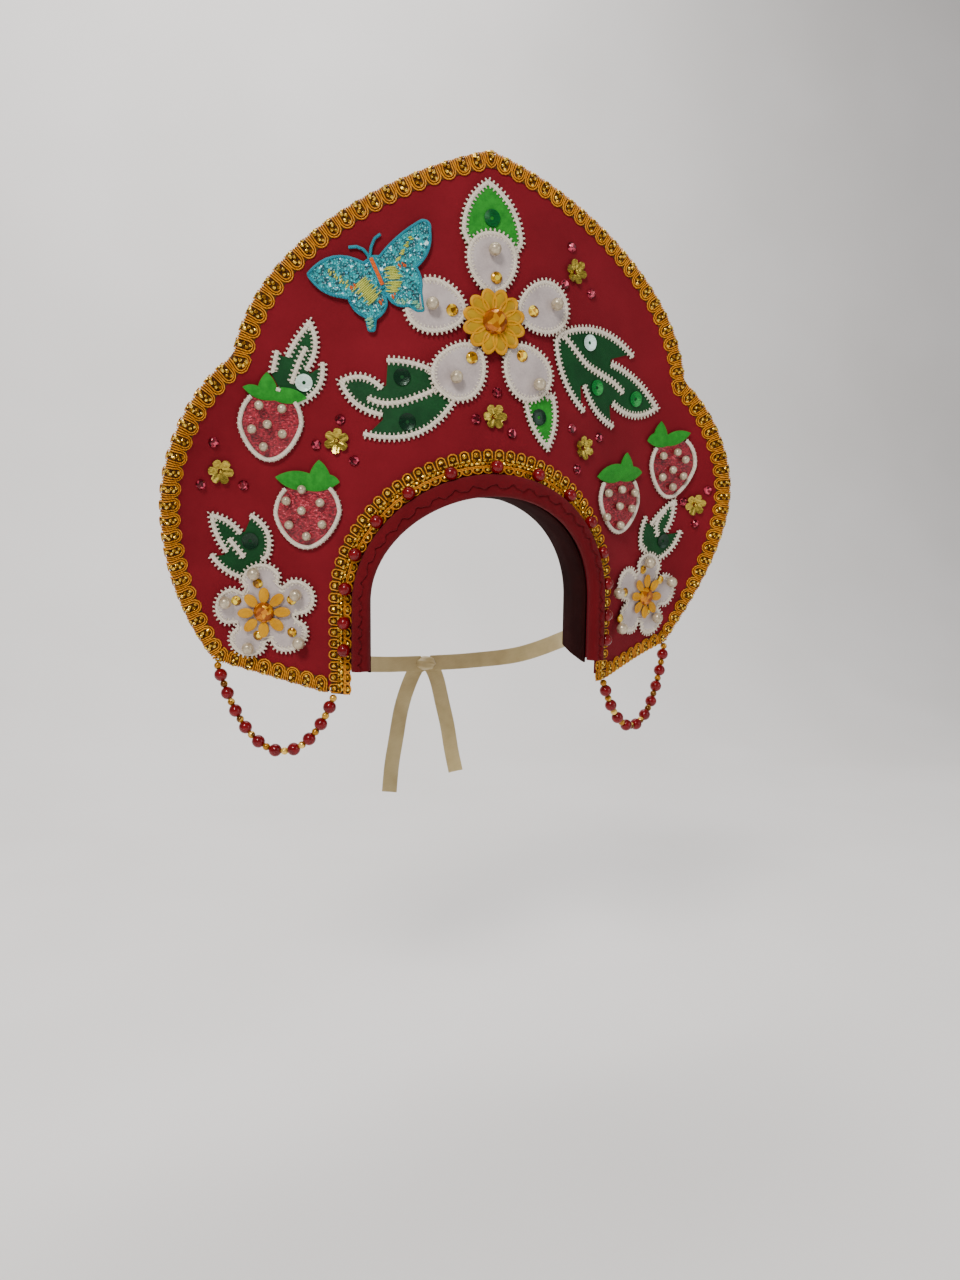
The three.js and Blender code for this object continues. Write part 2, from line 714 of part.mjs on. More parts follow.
// Strawberries: place on the crest, then calyx tips as shares of the berry's width
const STRAWBERRIES = [
  {
    name: "upper_left",
    place: [-0.682, 0.5],
    tips: [[-0.41, 0.56], [-0.05, 0.78], [0.54, 0.41]],
  },
  {
    name: "lower_left",
    place: [-0.569, 0.335],
    tips: [[-0.46, 0.59], [0.17, 0.83], [0.46, 0.49]],
  },
  {
    name: "upper_right",
    place: [0.774, 0.442],
    tips: [[-0.59, 0.44], [-0.32, 0.78], [0.29, 0.61]],
  },
  {
    name: "lower_right",
    place: [0.53, 0.363],
    tips: [[-0.55, 0.41], [0.12, 0.85], [0.49, 0.54]],
  },
];
const CALYX_NECK = 0.38;
const CALYX_LOBE = 0.13;

function berryOutline(centre) {
  return polarOutline(centre, 20, (angle) => {
    const up = Math.sin(angle);
    return (STRAWBERRY_WIDTH / 2) * (1 + 0.03 * up - 0.05 * Math.cos(2 * angle));
  });
}

function calyxOutline(centre, [left, top, right]) {
  const neck = [(left[0] + right[0]) / 2, CALYX_NECK];
  const corners = [
    [...left, CALYX_LOBE],
    [top[0] - 0.13, top[1] - 0.2, CALYX_LOBE],
    [...top, 0.08],
    [top[0] + 0.15, top[1] - 0.22, 0.08],
    [...right, CALYX_LOBE],
    [...neck, CALYX_LOBE],
  ];
  return curvedOutline(corners, STRAWBERRY_WIDTH, centre, 2);
}

const berryCentres = {};
for (const { name, place, tips } of STRAWBERRIES) {
  const centre = crestPlace(...place);
  berryCentres[name] = centre;
  const calyx = calyxOutline(centre, tips);
  addPiece("calyx_" + name, toGeometry(cutPiece(calyx, FELT_THICK)), LIGHT_GREEN);
  keepClear(calyx);
  const outline = berryOutline(centre);
  addPiece("strawberry_" + name, toGeometry(cutPiece(outline, FELT_THICK)), BERRY);
  keepClear(outline);
}

// Small blossoms: five-lobed satin with a pearl on each lobe, under a yellow rosette with its own stone
const BLOSSOMS = [
  { name: "left", place: [-0.697, 0.152], turn: 97 },
  { name: "right", place: [0.697, 0.165], turn: 83 },
];
const BLOSSOM_NOTCH = 0.42;
const BLOSSOM_PEARL = 0.8;

const blossomCentres = {};
for (const { name, place, turn } of BLOSSOMS) {
  const centre = crestPlace(...place);
  blossomCentres[name] = centre;
  const start = THREE.MathUtils.degToRad(turn);
  const lobeAt = (angle) => Math.sqrt(Math.abs(Math.cos(2.5 * (angle - start))));
  const radiusAt = (angle) => BLOSSOM_REACH * (1 - BLOSSOM_NOTCH + BLOSSOM_NOTCH * lobeAt(angle));
  const outline = polarOutline(centre, 30, radiusAt, start);
  const places = [0, 1, 2, 3, 4].map((k) => fromCentre(centre, BLOSSOM_PEARL * BLOSSOM_REACH, turn + 72 * k));
  const blossom = cutPiece(outline, FELT_THICK, pearlsOn(places));
  addPiece("blossom_" + name, toGeometry(blossom), SATIN);
  keepClear(outline);
  const gem = pearlOn(centre, BLOSSOM_STONE_RADIUS, CUT_STONE_PROFILE, 2 * GAP + FELT_THICK + ROSETTE_THICK);
  const rosette = flowerDisc(centre, ROSETTE_RADIUS, 8, 0.4, ROSETTE_THICK, 24).add(gem);
  addPiece("rosette_" + name, toGeometry(rosette), YELLOW);
}

// Small leaves, tucked under a berry or a blossom: corners clockwise, as shares of that piece's size
const SMALL_LEAVES = [
  {
    name: "small_leaf_upper_left",
    centre: berryCentres.upper_left,
    size: STRAWBERRY_WIDTH,
    corners: [
      [0.58, 1.56, 0.05],
      [0.56, 0.78, 0.17],
      [0.8, 0.93],
      [0.41, 0.29, 0.2],
      [0.12, 0.54],
      [-0.02, 0.78],
      [0.05, 1.1],
      [0.2, 1.02],
    ],
  },
  {
    name: "small_leaf_left",
    centre: blossomCentres.left,
    size: BLOSSOM_REACH,
    corners: [
      [-1.09, 1.97, 0.08],
      [-0.41, 1.59, 0.12],
      [-0.25, 1.97],
      [0.09, 1.06, 0.2],
      [-0.44, 0.63],
      [-1.09, 1.13, 0.1],
      [-0.78, 1.16],
    ],
  },
  {
    name: "small_leaf_right",
    centre: blossomCentres.right,
    size: BLOSSOM_REACH,
    corners: [
      [0.69, 2.22, 0.05],
      [0.56, 1.41, 0.12],
      [1, 1.47],
      [0.31, 0.75, 0.15],
      [-0.25, 1.06],
      [-0.16, 1.81, 0.12],
      [0, 1.63],
    ],
  },
];

for (const { name, centre, size, corners } of SMALL_LEAVES) {
  const outline = curvedOutline(corners, size, centre);
  addPiece(name, toGeometry(cutPiece(outline, FELT_THICK)), DARK_GREEN);
  keepClear(outline);
}

// Flower sequins: six petals stamped from gold foil
const SEQUIN_PLACES = [
  [0.308, 0.808],
  [0.005, 0.518],
  [0.354, 0.47],
  [-0.482, 0.473],
  [-0.836, 0.418],
  [0.895, 0.366],
];

SEQUIN_PLACES.forEach((place, i) => {
  const outline = polarOutline(crestPlace(...place), 12, (angle) => {
    return SEQUIN_RADIUS * (0.72 + 0.28 * Math.abs(Math.cos(3 * angle)));
  });
  addPiece("flower_sequin_" + (i + 1), toGeometry(cutPiece(outline, SEQUIN_THICK)), SEQUIN_GOLD);
});

// Bead swags: one string of red and gold beads under each lobe, hanging from its two lower corners

const redStep = RED_BEAD_RADIUS - BEAD_SINK / 2;
const goldStep = GOLD_BEAD_RADIUS - BEAD_SINK / 2;
const swagLength = 2 * (RED_BEADS_PER_SWAG * redStep + (RED_BEADS_PER_SWAG + 1) * goldStep);
const SWAG_HEIGHT = 1;

// The hanging curve of a given length between two points, as distances along it and down.
function hangingCurve(from, to, length) {
  const level = new THREE.Vector3(to.x - from.x, to.y - from.y, 0);
  const span = level.length();
  const rise = to.z - from.z;
  const target = Math.sqrt(length ** 2 - rise ** 2);
  let [tight, slack] = [span / 50, span * 50];
  for (let i = 0; i < 60; i++) {
    const trial = (tight + slack) / 2;
    if (2 * trial * Math.sinh(span / (2 * trial)) > target) tight = trial;
    else slack = trial;
  }
  const scale = (tight + slack) / 2;
  const lowest = span / 2 - scale * Math.atanh(rise / length);
  const heightAt = (s) => scale * Math.cosh((s - lowest) / scale);
  const arcAt = (s) => scale * (Math.sinh((s - lowest) / scale) + Math.sinh(lowest / scale));
  return (distance) => {
    let [low, high] = [0, span];
    for (let i = 0; i < 50; i++) {
      const middle = (low + high) / 2;
      if (arcAt(middle) < distance) low = middle;
      else high = middle;
    }
    const point = from.clone().addScaledVector(level, low / span);
    point.z = from.z + heightAt(low) - heightAt(0);
    return point;
  };
}

// Distances along the string and radii of the rings that draw its beads
function swagRings() {
  const neck = Math.sqrt(RED_BEAD_RADIUS ** 2 - redStep ** 2);
  const rings = [];
  let along = goldStep;
  for (let i = 0; i <= 2 * RED_BEADS_PER_SWAG; i++) {
    const gold = i % 2 === 0;
    const radius = gold ? GOLD_BEAD_RADIUS : RED_BEAD_RADIUS;
    const step = gold ? goldStep : redStep;
    const inner = gold ? [0] : [-0.5, 0.5];
    rings.push([along - step, neck]);
    for (const share of inner) rings.push([along + share * radius, radius * Math.sqrt(1 - share ** 2)]);
    along += step + (gold ? redStep : goldStep);
  }
  rings.push([swagLength, neck]);
  return rings;
}

function swagGeometry(from, to) {
  const curve = hangingCurve(from, to, swagLength);
  const flat = new THREE.Vector3(to.x - from.x, to.y - from.y, 0).normalize();
  const sideways = new THREE.Vector3(-flat.y, flat.x, 0);
  const rings = swagRings().map(([along, radius]) => {
    const centre = curve(along);
    const ahead = curve(along + 0.5).sub(curve(along - 0.5));
    const across = sideways.clone().cross(ahead.normalize());
    return Array.from({ length: BEAD_SIDES }, (_, k) => {
      const angle = (2 * Math.PI * k) / BEAD_SIDES;
      const point = centre.clone().addScaledVector(sideways, radius * Math.cos(angle));
      return point.addScaledVector(across, radius * Math.sin(angle));
    });
  });
  return skinRings(rings);
}

const outerCorner = crestPlace(...CREST_CURVES[2].to);
const swagDrop = GAP + EDGE_BRAID_THICK + SWEPT_GAP;

for (const [name, side] of [["left", -1], ["right", 1]]) {
  const outerX = side * outerCorner.x;
  const outerZ = outerCorner.y - swagDrop - GAP;
  const innerX = side * (HEAD_HALF_WIDTH + RIM_SIDE_WIDTH + ARCH_BRAID_WIDTH * 0.75);
  const innerZ = SPRING_Z - archLeg - 2 * GAP;
  const from = new THREE.Vector3(outerX, crestY(outerX, outerZ) - SWAG_HEIGHT, outerZ);
  const to = new THREE.Vector3(innerX, crestY(innerX, innerZ) - SWAG_HEIGHT, innerZ);
  addPiece("bead_swag_" + name, swagGeometry(from, to), RED_PEARL);
}

// Ribbon ties: sewn outside the headband's feet, round the nape, knotted, with two hanging tails

function flatStrip(places, wide, thick) {
  const curve = new THREE.CatmullRomCurve3(places, false, "centripetal");
  const steps = 3 * (places.length - 1);
  return skinRings(
    Array.from({ length: steps + 1 }, (_, i) => {
      const centre = curve.getPoint(i / steps);
      const ahead = curve.getTangent(i / steps);
      const face = ahead.clone().cross(wide).normalize();
      const up = face.clone().cross(ahead).normalize();
      return [[1, 1], [-1, 1], [-1, -1], [1, -1]].map(([w, t]) => {
        const point = centre.clone().addScaledVector(up, (w * RIBBON_WIDTH) / 2);
        return point.addScaledVector(face, (t * thick) / 2);
      });
    }),
  );
}

const tieX = HEAD_HALF_WIDTH + BAND_THICK + BAND_FLARE * 0.4 + GAP + RIBBON_THICK;
const tieZ = SPRING_Z - (BAND_LEG - BAND_SLANT) + RIBBON_WIDTH / 2;
const tieY = crestY(HEAD_HALF_WIDTH, tieZ) + BAND_DEPTH * 0.62;
const upright = new THREE.Vector3(0, 0, 1);

for (const [name, side] of [["left", -1], ["right", 1]]) {
  const route = [
    new THREE.Vector3(side * tieX, tieY, tieZ),
    new THREE.Vector3(side * (tieX + BAND_FLARE * 0.9), tieY + BAND_DEPTH * 0.4, tieZ - 2),
    new THREE.Vector3(side * tieX * 0.82, NAPE_BACK * 0.78, -(NAPE_DROP - 6)),
    new THREE.Vector3(side * tieX * 0.42, NAPE_BACK * 0.96, -(NAPE_DROP - 1)),
    new THREE.Vector3(side * (KNOT_RADIUS + 2 * GAP), NAPE_BACK, -NAPE_DROP),
  ];
  addPiece("tie_" + name, flatStrip(route, upright, RIBBON_THICK), RIBBON);
}

const KNOT_PROFILE = [[0, -1], [0.75, -0.75], [1, 0], [0.75, 0.75], [0, 1]];
const knotBall = new THREE.LatheGeometry(
  KNOT_PROFILE.map(([r, h]) => new THREE.Vector2(r * RIBBON_WIDTH * 0.42, h * KNOT_RADIUS)),
  8,
);
knotBall.rotateZ(Math.PI / 2);
knotBall.translate(0, NAPE_BACK, -NAPE_DROP);
const TAILS = [
  { lean: -0.3, length: 1 },
  { lean: 0.26, length: 0.88 },
];
const tails = TAILS.map(({ lean, length }) => {
  const drop = TAIL_LENGTH * length;
  const route = [0, 0.35, 0.7, 1].map((t) => {
    const bow = Math.sin(Math.PI * t) * RIBBON_WIDTH * 0.25;
    const x = lean * drop * Math.sqrt(t) + Math.sign(lean) * RIBBON_THICK;
    return new THREE.Vector3(x, NAPE_BACK + KNOT_RADIUS * 0.3 + bow, -NAPE_DROP - drop * t);
  });
  return toSolid(flatStrip(route, new THREE.Vector3(1, 0, 0), RIBBON_THICK));
});
const knot = tails.reduce((all, tail) => all.add(tail), toSolid(knotBall));
addPiece("tie_knot", toGeometry(knot), RIBBON);

export default headdress;
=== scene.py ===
import math
import bpy
import numpy as np
from mathutils import Matrix, Vector


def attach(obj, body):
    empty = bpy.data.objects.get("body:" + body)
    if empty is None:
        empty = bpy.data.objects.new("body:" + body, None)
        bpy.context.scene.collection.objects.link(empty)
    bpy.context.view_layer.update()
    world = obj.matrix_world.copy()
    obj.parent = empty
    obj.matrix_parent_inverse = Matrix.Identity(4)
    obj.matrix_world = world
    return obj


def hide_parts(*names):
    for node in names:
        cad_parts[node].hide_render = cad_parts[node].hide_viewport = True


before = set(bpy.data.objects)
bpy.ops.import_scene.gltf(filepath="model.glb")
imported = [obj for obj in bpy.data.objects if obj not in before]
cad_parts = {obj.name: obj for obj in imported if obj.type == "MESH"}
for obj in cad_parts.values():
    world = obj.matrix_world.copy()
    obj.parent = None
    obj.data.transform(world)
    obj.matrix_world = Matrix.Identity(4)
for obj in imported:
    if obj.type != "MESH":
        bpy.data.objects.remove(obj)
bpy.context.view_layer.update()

# Camera. It stands a little to the wearer's right and above the brow, and looks slightly down on the
# headdress, which is held up at its crown.
CAMERA_PLACE = (-0.2235, -0.626, -0.046)
TO_THE_RIGHT, DOWNWARDS, TILT = 19.64, 3.96, 0.81
FOCAL_LENGTH = 28.25
bpy.ops.object.select_all(action="DESELECT")
bpy.ops.object.camera_add(location=CAMERA_PLACE)
camera = bpy.context.object
turn = Matrix.Rotation(math.radians(-TO_THE_RIGHT), 4, "Z")
turn = turn @ Matrix.Rotation(math.radians(90 - DOWNWARDS), 4, "X")
turn = turn @ Matrix.Rotation(math.radians(-TILT), 4, "Z")
camera.matrix_world = Matrix.Translation(camera.location) @ turn
camera.data.lens = FOCAL_LENGTH
camera.data.clip_start = 0.01
bpy.context.scene.camera = camera


# Crest. The real board is stiff card cut to a pointed crescent, bent round the forehead and covered in
# matt crimson gabardine; the cloth is glued down in front and turned over the edge to the back.
HALF_WIDTH, TOP, FOOT = 0.195, 0.208, -0.120
HEIGHT = TOP - FOOT
HEAD_WIDE, HEAD_RISE, SPRING = 0.074, 0.065, -0.065
BOARD_THICK, BOARD_GRAIN = 0.004, 0.006
FRONT_Y, FORWARD_LEAN = -0.028, 0.0065
BEND, BEND_LOST_UPWARDS, BEND_LOST_OUTWARDS = 0.138, 0.119, 0.101
INNER_CORNER_X = 0.10352
OPENING_SPARE, OPENING_LEG = 0.0033, 0.042
FOOT_CUT_IN, FOOT_CUT_HIGH = 0.0175, 0.0122


def crest_y(x, z):
    """How far back the board's face lies at a place on it."""
    across = x / HALF_WIDTH
    bend = BEND - BEND_LOST_UPWARDS * z / HEIGHT
    return FRONT_Y + bend * across**2 - BEND_LOST_OUTWARDS * across**4 - FORWARD_LEAN * z / HEIGHT


def crest_face(flat, lift=0.0):
    """Points and normals of the crest's face over flat places (x, z), raised towards the viewer."""
    flat = np.asarray(flat, float).reshape(-1, 2)
    x, z = flat[:, 0], flat[:, 1]
    step = 0.0005
    slope_x = (crest_y(x + step, z) - crest_y(x - step, z)) / (2 * step)
    slope_z = (crest_y(x, z + step) - crest_y(x, z - step)) / (2 * step)
    normal = np.stack([slope_x, -np.ones_like(x), slope_z], 1)
    normal /= np.linalg.norm(normal, axis=1)[:, None]
    points = np.stack([x, crest_y(x, z), z], 1)
    return points + normal * np.reshape(np.broadcast_to(lift, x.shape), (-1, 1)), normal


def crest_place(share_x, share_z):
    """A flat place on the crest, from shares of its half width and of its height."""
    return np.array([share_x * HALF_WIDTH, FOOT + share_z * HEIGHT])


def running_length(points):
    """How far along a line each of its points lies."""
    return np.concatenate([[0], np.cumsum(np.linalg.norm(np.diff(points, axis=0), axis=1))])


def evenly(points, spacing, closed=False):
    """The same line with points at equal distances."""
    points = np.asarray(points, float)
    if closed:
        points = np.vstack([points, points[:1]])
    run = running_length(points)
    count = max(2, int(round(run[-1] / spacing)))
    along = np.linspace(0, run[-1], count + 1)
    line = np.stack([np.interp(along, run, points[:, k]) for k in range(points.shape[1])], 1)
    return line[:-1] if closed else line


def crest_edge():
    """The board's outline from its left inner foot over the top to the right one."""
    curves = [
        ((0, 1), (0.318, 0.945), (0.715, 0.823), (0.78, 0.616)),
        ((0.78, 0.616), (0.89, 0.572), (1, 0.457), (1, 0.343)),
        ((1, 0.343), (1, 0.238), (0.938, 0.137), (0.851, 0.061)),
    ]
    right = [crest_place(0, 1)]
    for a, b, c, d in curves:
        a, b, c, d = (crest_place(*corner) for corner in (a, b, c, d))
        for t in np.linspace(0, 1, 41)[1:]:
            s = 1 - t
            right.append(s**3 * a + 3 * s * s * t * b + 3 * s * t * t * c + t**3 * d)
    right.append(np.array([INNER_CORNER_X, FOOT]))
    left = [np.array([-x, z]) for x, z in right[:0:-1]]
    return evenly(left + right, 0.003)


def arch_at(step, top, side, leg):
    """Points round the arch: step runs from -1.5 at the left foot over 0 at the top to 1.5."""
    step, top, side = np.broadcast_arrays(np.asarray(step, float), top, side)
    bent = np.clip(step, -1, 1) * math.pi / 2
    down = np.clip(np.abs(step) - 1, 0, None) / 0.5 * leg
    x = (HEAD_WIDE + side) * np.sin(bent)
    z = SPRING + (HEAD_RISE + top) * np.cos(bent) - down
    return np.stack([x, z], -1)


def cut_cloth(name, outline, grain):
    """A flat piece with this outline, scored into small squares so that it can bend."""
    outline = np.asarray(outline, float)
    x, z = outline[:, 0], outline[:, 1]
    if np.sum(x * np.roll(z, -1) - z * np.roll(x, -1)) < 0:
        outline = outline[::-1]
    bpy.ops.object.select_all(action="DESELECT")
    bpy.ops.mesh.primitive_circle_add(vertices=len(outline), fill_type="NGON")
    piece = bpy.context.object
    piece.name = name
    for vertex, (place_x, place_z) in zip(piece.data.vertices, outline):
        vertex.co = (place_x, 0, place_z)
    bpy.ops.object.mode_set(mode="EDIT")
    for axis, (low, high) in enumerate(zip(outline.min(0), outline.max(0))):
        direction = (1, 0, 0) if axis == 0 else (0, 0, 1)
        for line in np.arange(low + grain * 0.55, high, grain):
            bpy.ops.mesh.select_all(action="SELECT")
            bpy.ops.mesh.bisect(plane_co=[line * part for part in direction], plane_no=direction)
    bpy.ops.object.mode_set(mode="OBJECT")
    return piece


def flat_places(piece):
    places = np.empty(len(piece.data.vertices) * 3)
    piece.data.vertices.foreach_get("co", places)
    return places.reshape(-1, 3)


def move_points(piece, points):
    piece.data.vertices.foreach_set("co", np.asarray(points, float).ravel())
    piece.data.update()


def lay_on_crest(piece, lift):
    points, _ = crest_face(flat_places(piece)[:, [0, 2]], lift)
    move_points(piece, points)


def thicken(piece, thickness):
    bpy.context.view_layer.objects.active = piece
    wall = piece.modifiers.new("wall", "SOLIDIFY")
    wall.thickness = thickness
    wall.offset = -1
    bpy.ops.object.modifier_apply(modifier="wall")


class Socket:
    """A node's output, written with as a number."""

    def __init__(self, finish, output):
        self.finish = finish
        self.output = output

    def maths(self, operation, *others, turned=False):
        values = (*others, self) if turned else (self, *others)
        return self.finish.add("ShaderNodeMath", {"operation": operation}, values)

    def __add__(self, other):
        return self.maths("ADD", other)

    __radd__ = __add__

    def __mul__(self, other):
        return self.maths("MULTIPLY", other)

    __rmul__ = __mul__

    def __sub__(self, other):
        return self.maths("SUBTRACT", other)

    def __rsub__(self, other):
        return self.maths("SUBTRACT", other, turned=True)

    def __gt__(self, other):
        return self.maths("GREATER_THAN", other)


class Finish:
    """A material built up from nodes round one surface shader."""

    def __init__(self, name, **fixed):
        self.material = bpy.data.materials.new(name)
        self.material.use_nodes = True
        self.tree = self.material.node_tree
        self.tree.nodes.clear()
        self.shader = self.tree.nodes.new("ShaderNodeBsdfPrincipled")
        output = self.tree.nodes.new("ShaderNodeOutputMaterial")
        self.tree.links.new(self.shader.outputs["BSDF"], output.inputs["Surface"])
        self.set(**fixed)
        self.place = self.add("ShaderNodeTexCoord", out="Object")
        parts = self.add("ShaderNodeSeparateXYZ", {}, [self.place]).output.node
        self.x, self.y, self.z = (Socket(self, socket) for socket in parts.outputs)

    def join(self, target, value):
        if isinstance(value, Socket):
            self.tree.links.new(value.output, target)
        elif target.type == "RGBA" and len(value) == 3:
            target.default_value = (*value, 1)
        else:
            target.default_value = value

    def set(self, **sockets):
        for name, value in sockets.items():
            self.join(self.shader.inputs[name.replace("_", " ")], value)

    def add(self, kind, settings={}, sockets=(), out=0):
        node = self.tree.nodes.new(kind)
        for key, value in settings.items():
            if key == "stops":
                ramp = node.color_ramp
                while len(ramp.elements) < len(value):
                    ramp.elements.new(0.5)
                for element, (position, colour) in zip(ramp.elements, value):
                    element.position = position
                    element.color = (*colour, 1)
            else:
                setattr(node, key, value)
        pairs = sockets.items() if isinstance(sockets, dict) else enumerate(sockets)
        for key, value in pairs:
            self.join(node.inputs[key], value)
        return Socket(self, node.outputs[out])

    def noise(self, scale, detail=2.0, stretch=None):
        place = self.place
        if stretch:
            place = self.add("ShaderNodeMapping", {}, {"Vector": place, "Scale": stretch})
        return self.add("ShaderNodeTexNoise", {}, {"Vector": place, "Scale": scale, "Detail": detail})

    def cells(self, scale):
        return self.add("ShaderNodeTexVoronoi", {}, {"Vector": self.place, "Scale": scale}, "Distance")

    def cell_tone(self, scale):
        """One tone for each cell, from 0 to 1."""
        colour = self.add("ShaderNodeTexVoronoi", {}, {"Vector": self.place, "Scale": scale}, "Color")
        return self.add("ShaderNodeSeparateColor", {}, [colour])

    def blend(self, factor, first, second):
        return self.add("ShaderNodeMix", {"data_type": "RGBA"}, {0: factor, 6: first, 7: second}, 2)

    def ramp(self, value, *stops):
        return self.add("ShaderNodeValToRGB", {"stops": stops}, [value])

    def bump(self, height, distance):
        self.set(Normal=self.add("ShaderNodeBump", {}, {"Height": height, "Distance": distance}))


def dye(red, green, blue):
    """A colour as the eye names it, from 0 to 255, as the shader wants it."""
    return tuple((part / 255 / 12.92) if part < 10.3 else ((part / 255 + 0.055) / 1.055) ** 2.4
                 for part in (red, green, blue))


def woven(name, dark, light, thread, rough=0.85, sheen=0.15, relief=0.00006, mottle=28, gloss=0.15):
    """Plain-woven cloth seen from the front: threads run across and up."""
    cloth = Finish(name, Sheen_Weight=sheen, Sheen_Roughness=0.5, Specular_IOR_Level=gloss)
    warp = (cloth.x * (2 * math.pi / thread)).maths("SINE")
    weft = (cloth.z * (2 * math.pi / thread)).maths("SINE")
    weave = warp * weft
    shade = cloth.noise(mottle, 3) * 0.75 + cloth.noise(900, 2) * 0.25
    cloth.set(Base_Color=cloth.ramp(shade + weave * 0.06, (0.25, dark), (0.75, light)))
    cloth.set(Roughness=rough - shade * 0.12)
    cloth.bump(weave + cloth.noise(2200, 2) * 1.2 + cloth.noise(60, 2) * 3, relief)
    return cloth.material


def finish_piece(piece, material, slot, *nodes, smooth=40):
    """The last steps for every piece: its material, its shading and the solids that it stands for."""
    if material:
        piece.data.materials.clear()
        piece.data.materials.append(material)
    bpy.ops.object.select_all(action="DESELECT")
    piece.select_set(True)
    bpy.context.view_layer.objects.active = piece
    bpy.ops.object.shade_smooth_by_angle(angle=math.radians(smooth))
    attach(piece, "root")
    if nodes:
        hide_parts(*nodes)
    return piece


crimson = woven("crimson_gabardine", dye(104, 10, 22), dye(125, 19, 32), 0.0007, sheen=0.02)
edge = crest_edge()
arch_steps = np.linspace(1.5, -1.5, 121)
opening = arch_at(arch_steps, OPENING_SPARE, OPENING_SPARE, OPENING_LEG)
foot = [(HEAD_WIDE + FOOT_CUT_IN, FOOT), (HEAD_WIDE + FOOT_CUT_IN, FOOT + FOOT_CUT_HIGH)]
opening = np.vstack([foot, opening, [(-x, z) for x, z in foot[::-1]]])
crest = cut_cloth("crest_board", np.vstack([edge, opening]), BOARD_GRAIN)
lay_on_crest(crest, 0.0)
thicken(crest, BOARD_THICK)
finish_piece(crest, crimson, "crest_cloth", "crest_panel", smooth=50)


# Braid on the crest's edge. Orange-gold cords are looped round a sparkling metallic thread; the braid is
# folded over the edge of the board and sewn down in front and behind.
CORD, METAL, GROUND = 0, 1, 2  # the number of each thread's material in a braid
EDGE_PITCH, EDGE_UNIT_LONG, EDGE_IN = 0.01, 0.0102, -0.0036
EDGE_KNOBS, EDGE_SWELL = 9, 0.0009


def take_shape(*pieces):
    """The joined mesh of some shaped pieces, as points, faces and the material number of each face."""
    points, faces, numbers = [], [], []
    for piece in pieces:
        start = sum(len(part) for part in points)
        points.append(flat_places(piece))
        faces += [[start + corner for corner in face.vertices] for face in piece.data.polygons]
        numbers += [piece.pass_index] * len(piece.data.polygons)
        bpy.data.objects.remove(piece)
    return np.vstack(points), faces, numbers


def ring(radius, cord, place=(0, 0, 0), around=12, sides=5, squash=(1, 1, 1)):
    bpy.ops.object.select_all(action="DESELECT")
    bpy.ops.mesh.primitive_torus_add(
        major_segments=around, minor_segments=sides, major_radius=radius, minor_radius=cord
    )
    bpy.ops.object.mode_set(mode="EDIT")
    bpy.ops.transform.resize(value=squash)
    bpy.ops.transform.translate(value=place)
    bpy.ops.object.mode_set(mode="OBJECT")
    return bpy.context.object


def long_loop(radius, cord, length, place, pieces=8):
    """A cord laid in a long loop: two half rings joined by straight sides that run across the braid."""
    loop = ring(radius, cord)
    for vertex in loop.data.vertices:
        vertex.co.y += length * (vertex.co.y > 0.00001)
    bpy.ops.object.mode_set(mode="EDIT")
    for cut in range(1, pieces):
        bpy.ops.mesh.select_all(action="SELECT")
        bpy.ops.mesh.bisect(plane_co=(0, length * cut / pieces, 0), plane_no=(0, 1, 0))
    bpy.ops.mesh.select_all(action="SELECT")
    bpy.ops.transform.translate(value=place)
    bpy.ops.object.mode_set(mode="OBJECT")
    return loop


def ground_strip(length, low, high, up, cuts=1):
    """The flat ground of a braid, from one border to the other."""
    bpy.ops.object.select_all(action="DESELECT")
    bpy.ops.mesh.primitive_plane_add(size=1)
    strip = bpy.context.object
    move_points(strip, flat_places(strip) * (length, high - low, 0) + (0, (high + low) / 2, up))
    bpy.ops.object.mode_set(mode="EDIT")
    for cut in range(1, cuts):
        bpy.ops.mesh.select_all(action="SELECT")
        bpy.ops.mesh.bisect(plane_co=(0, low + (high - low) * cut / cuts, 0), plane_no=(0, 1, 0))
    bpy.ops.object.mode_set(mode="OBJECT")
    strip.pass_index = GROUND
    return strip


def straight_cord(length, radius, across=0, up=0, sides=6):
    """A short open length of cord, cut once across its middle so that it can bend there."""
    bpy.ops.object.select_all(action="DESELECT")
    bpy.ops.mesh.primitive_cylinder_add(
        vertices=sides, radius=radius, depth=length, end_fill_type="NOTHING", rotation=(0, math.pi / 2, 0)
    )
    piece = bpy.context.object
    bpy.ops.object.transform_apply(location=False, rotation=True, scale=False)
    bpy.ops.object.mode_set(mode="EDIT")
    bpy.ops.mesh.select_all(action="SELECT")
    bpy.ops.mesh.bisect(plane_co=(0, 0, 0), plane_no=(1, 0, 0))
    bpy.ops.mesh.select_all(action="SELECT")
    bpy.ops.transform.translate(value=(0, across, up))
    bpy.ops.object.mode_set(mode="OBJECT")
    return piece


def knob(radius, place=(0, 0, 0), number=CORD, segments=8, rings=5, squash=(1, 1, 1)):
    """A small round or flattened bead of thread."""
    bpy.ops.object.select_all(action="DESELECT")
    bpy.ops.mesh.primitive_uv_sphere_add(segments=segments, ring_count=rings, radius=radius)
    bpy.ops.object.mode_set(mode="EDIT")
    bpy.ops.transform.resize(value=squash)
    bpy.ops.transform.translate(value=place)
    bpy.ops.object.mode_set(mode="OBJECT")
    bpy.context.object.pass_index = number
    return bpy.context.object


def route_on_crest(flat, lift=0.0, closed=False):
    """A line on the crest: its points, what is sideways and what is up at each, and its running length."""
    flat = evenly(flat, 0.001, closed)
    if closed:
        flat = np.vstack([flat, flat[:1]])
    points, up = crest_face(flat, lift)
    return route_along(points, up, closed)


def route_along(points, up, closed=False):
    ahead = np.gradient(points, axis=0)
    if closed:
        ahead[0] = ahead[-1] = points[1] - points[-2]
    side = np.cross(up, ahead)
    side /= np.linalg.norm(side, axis=1)[:, None]
    return points, side, up, running_length(points)


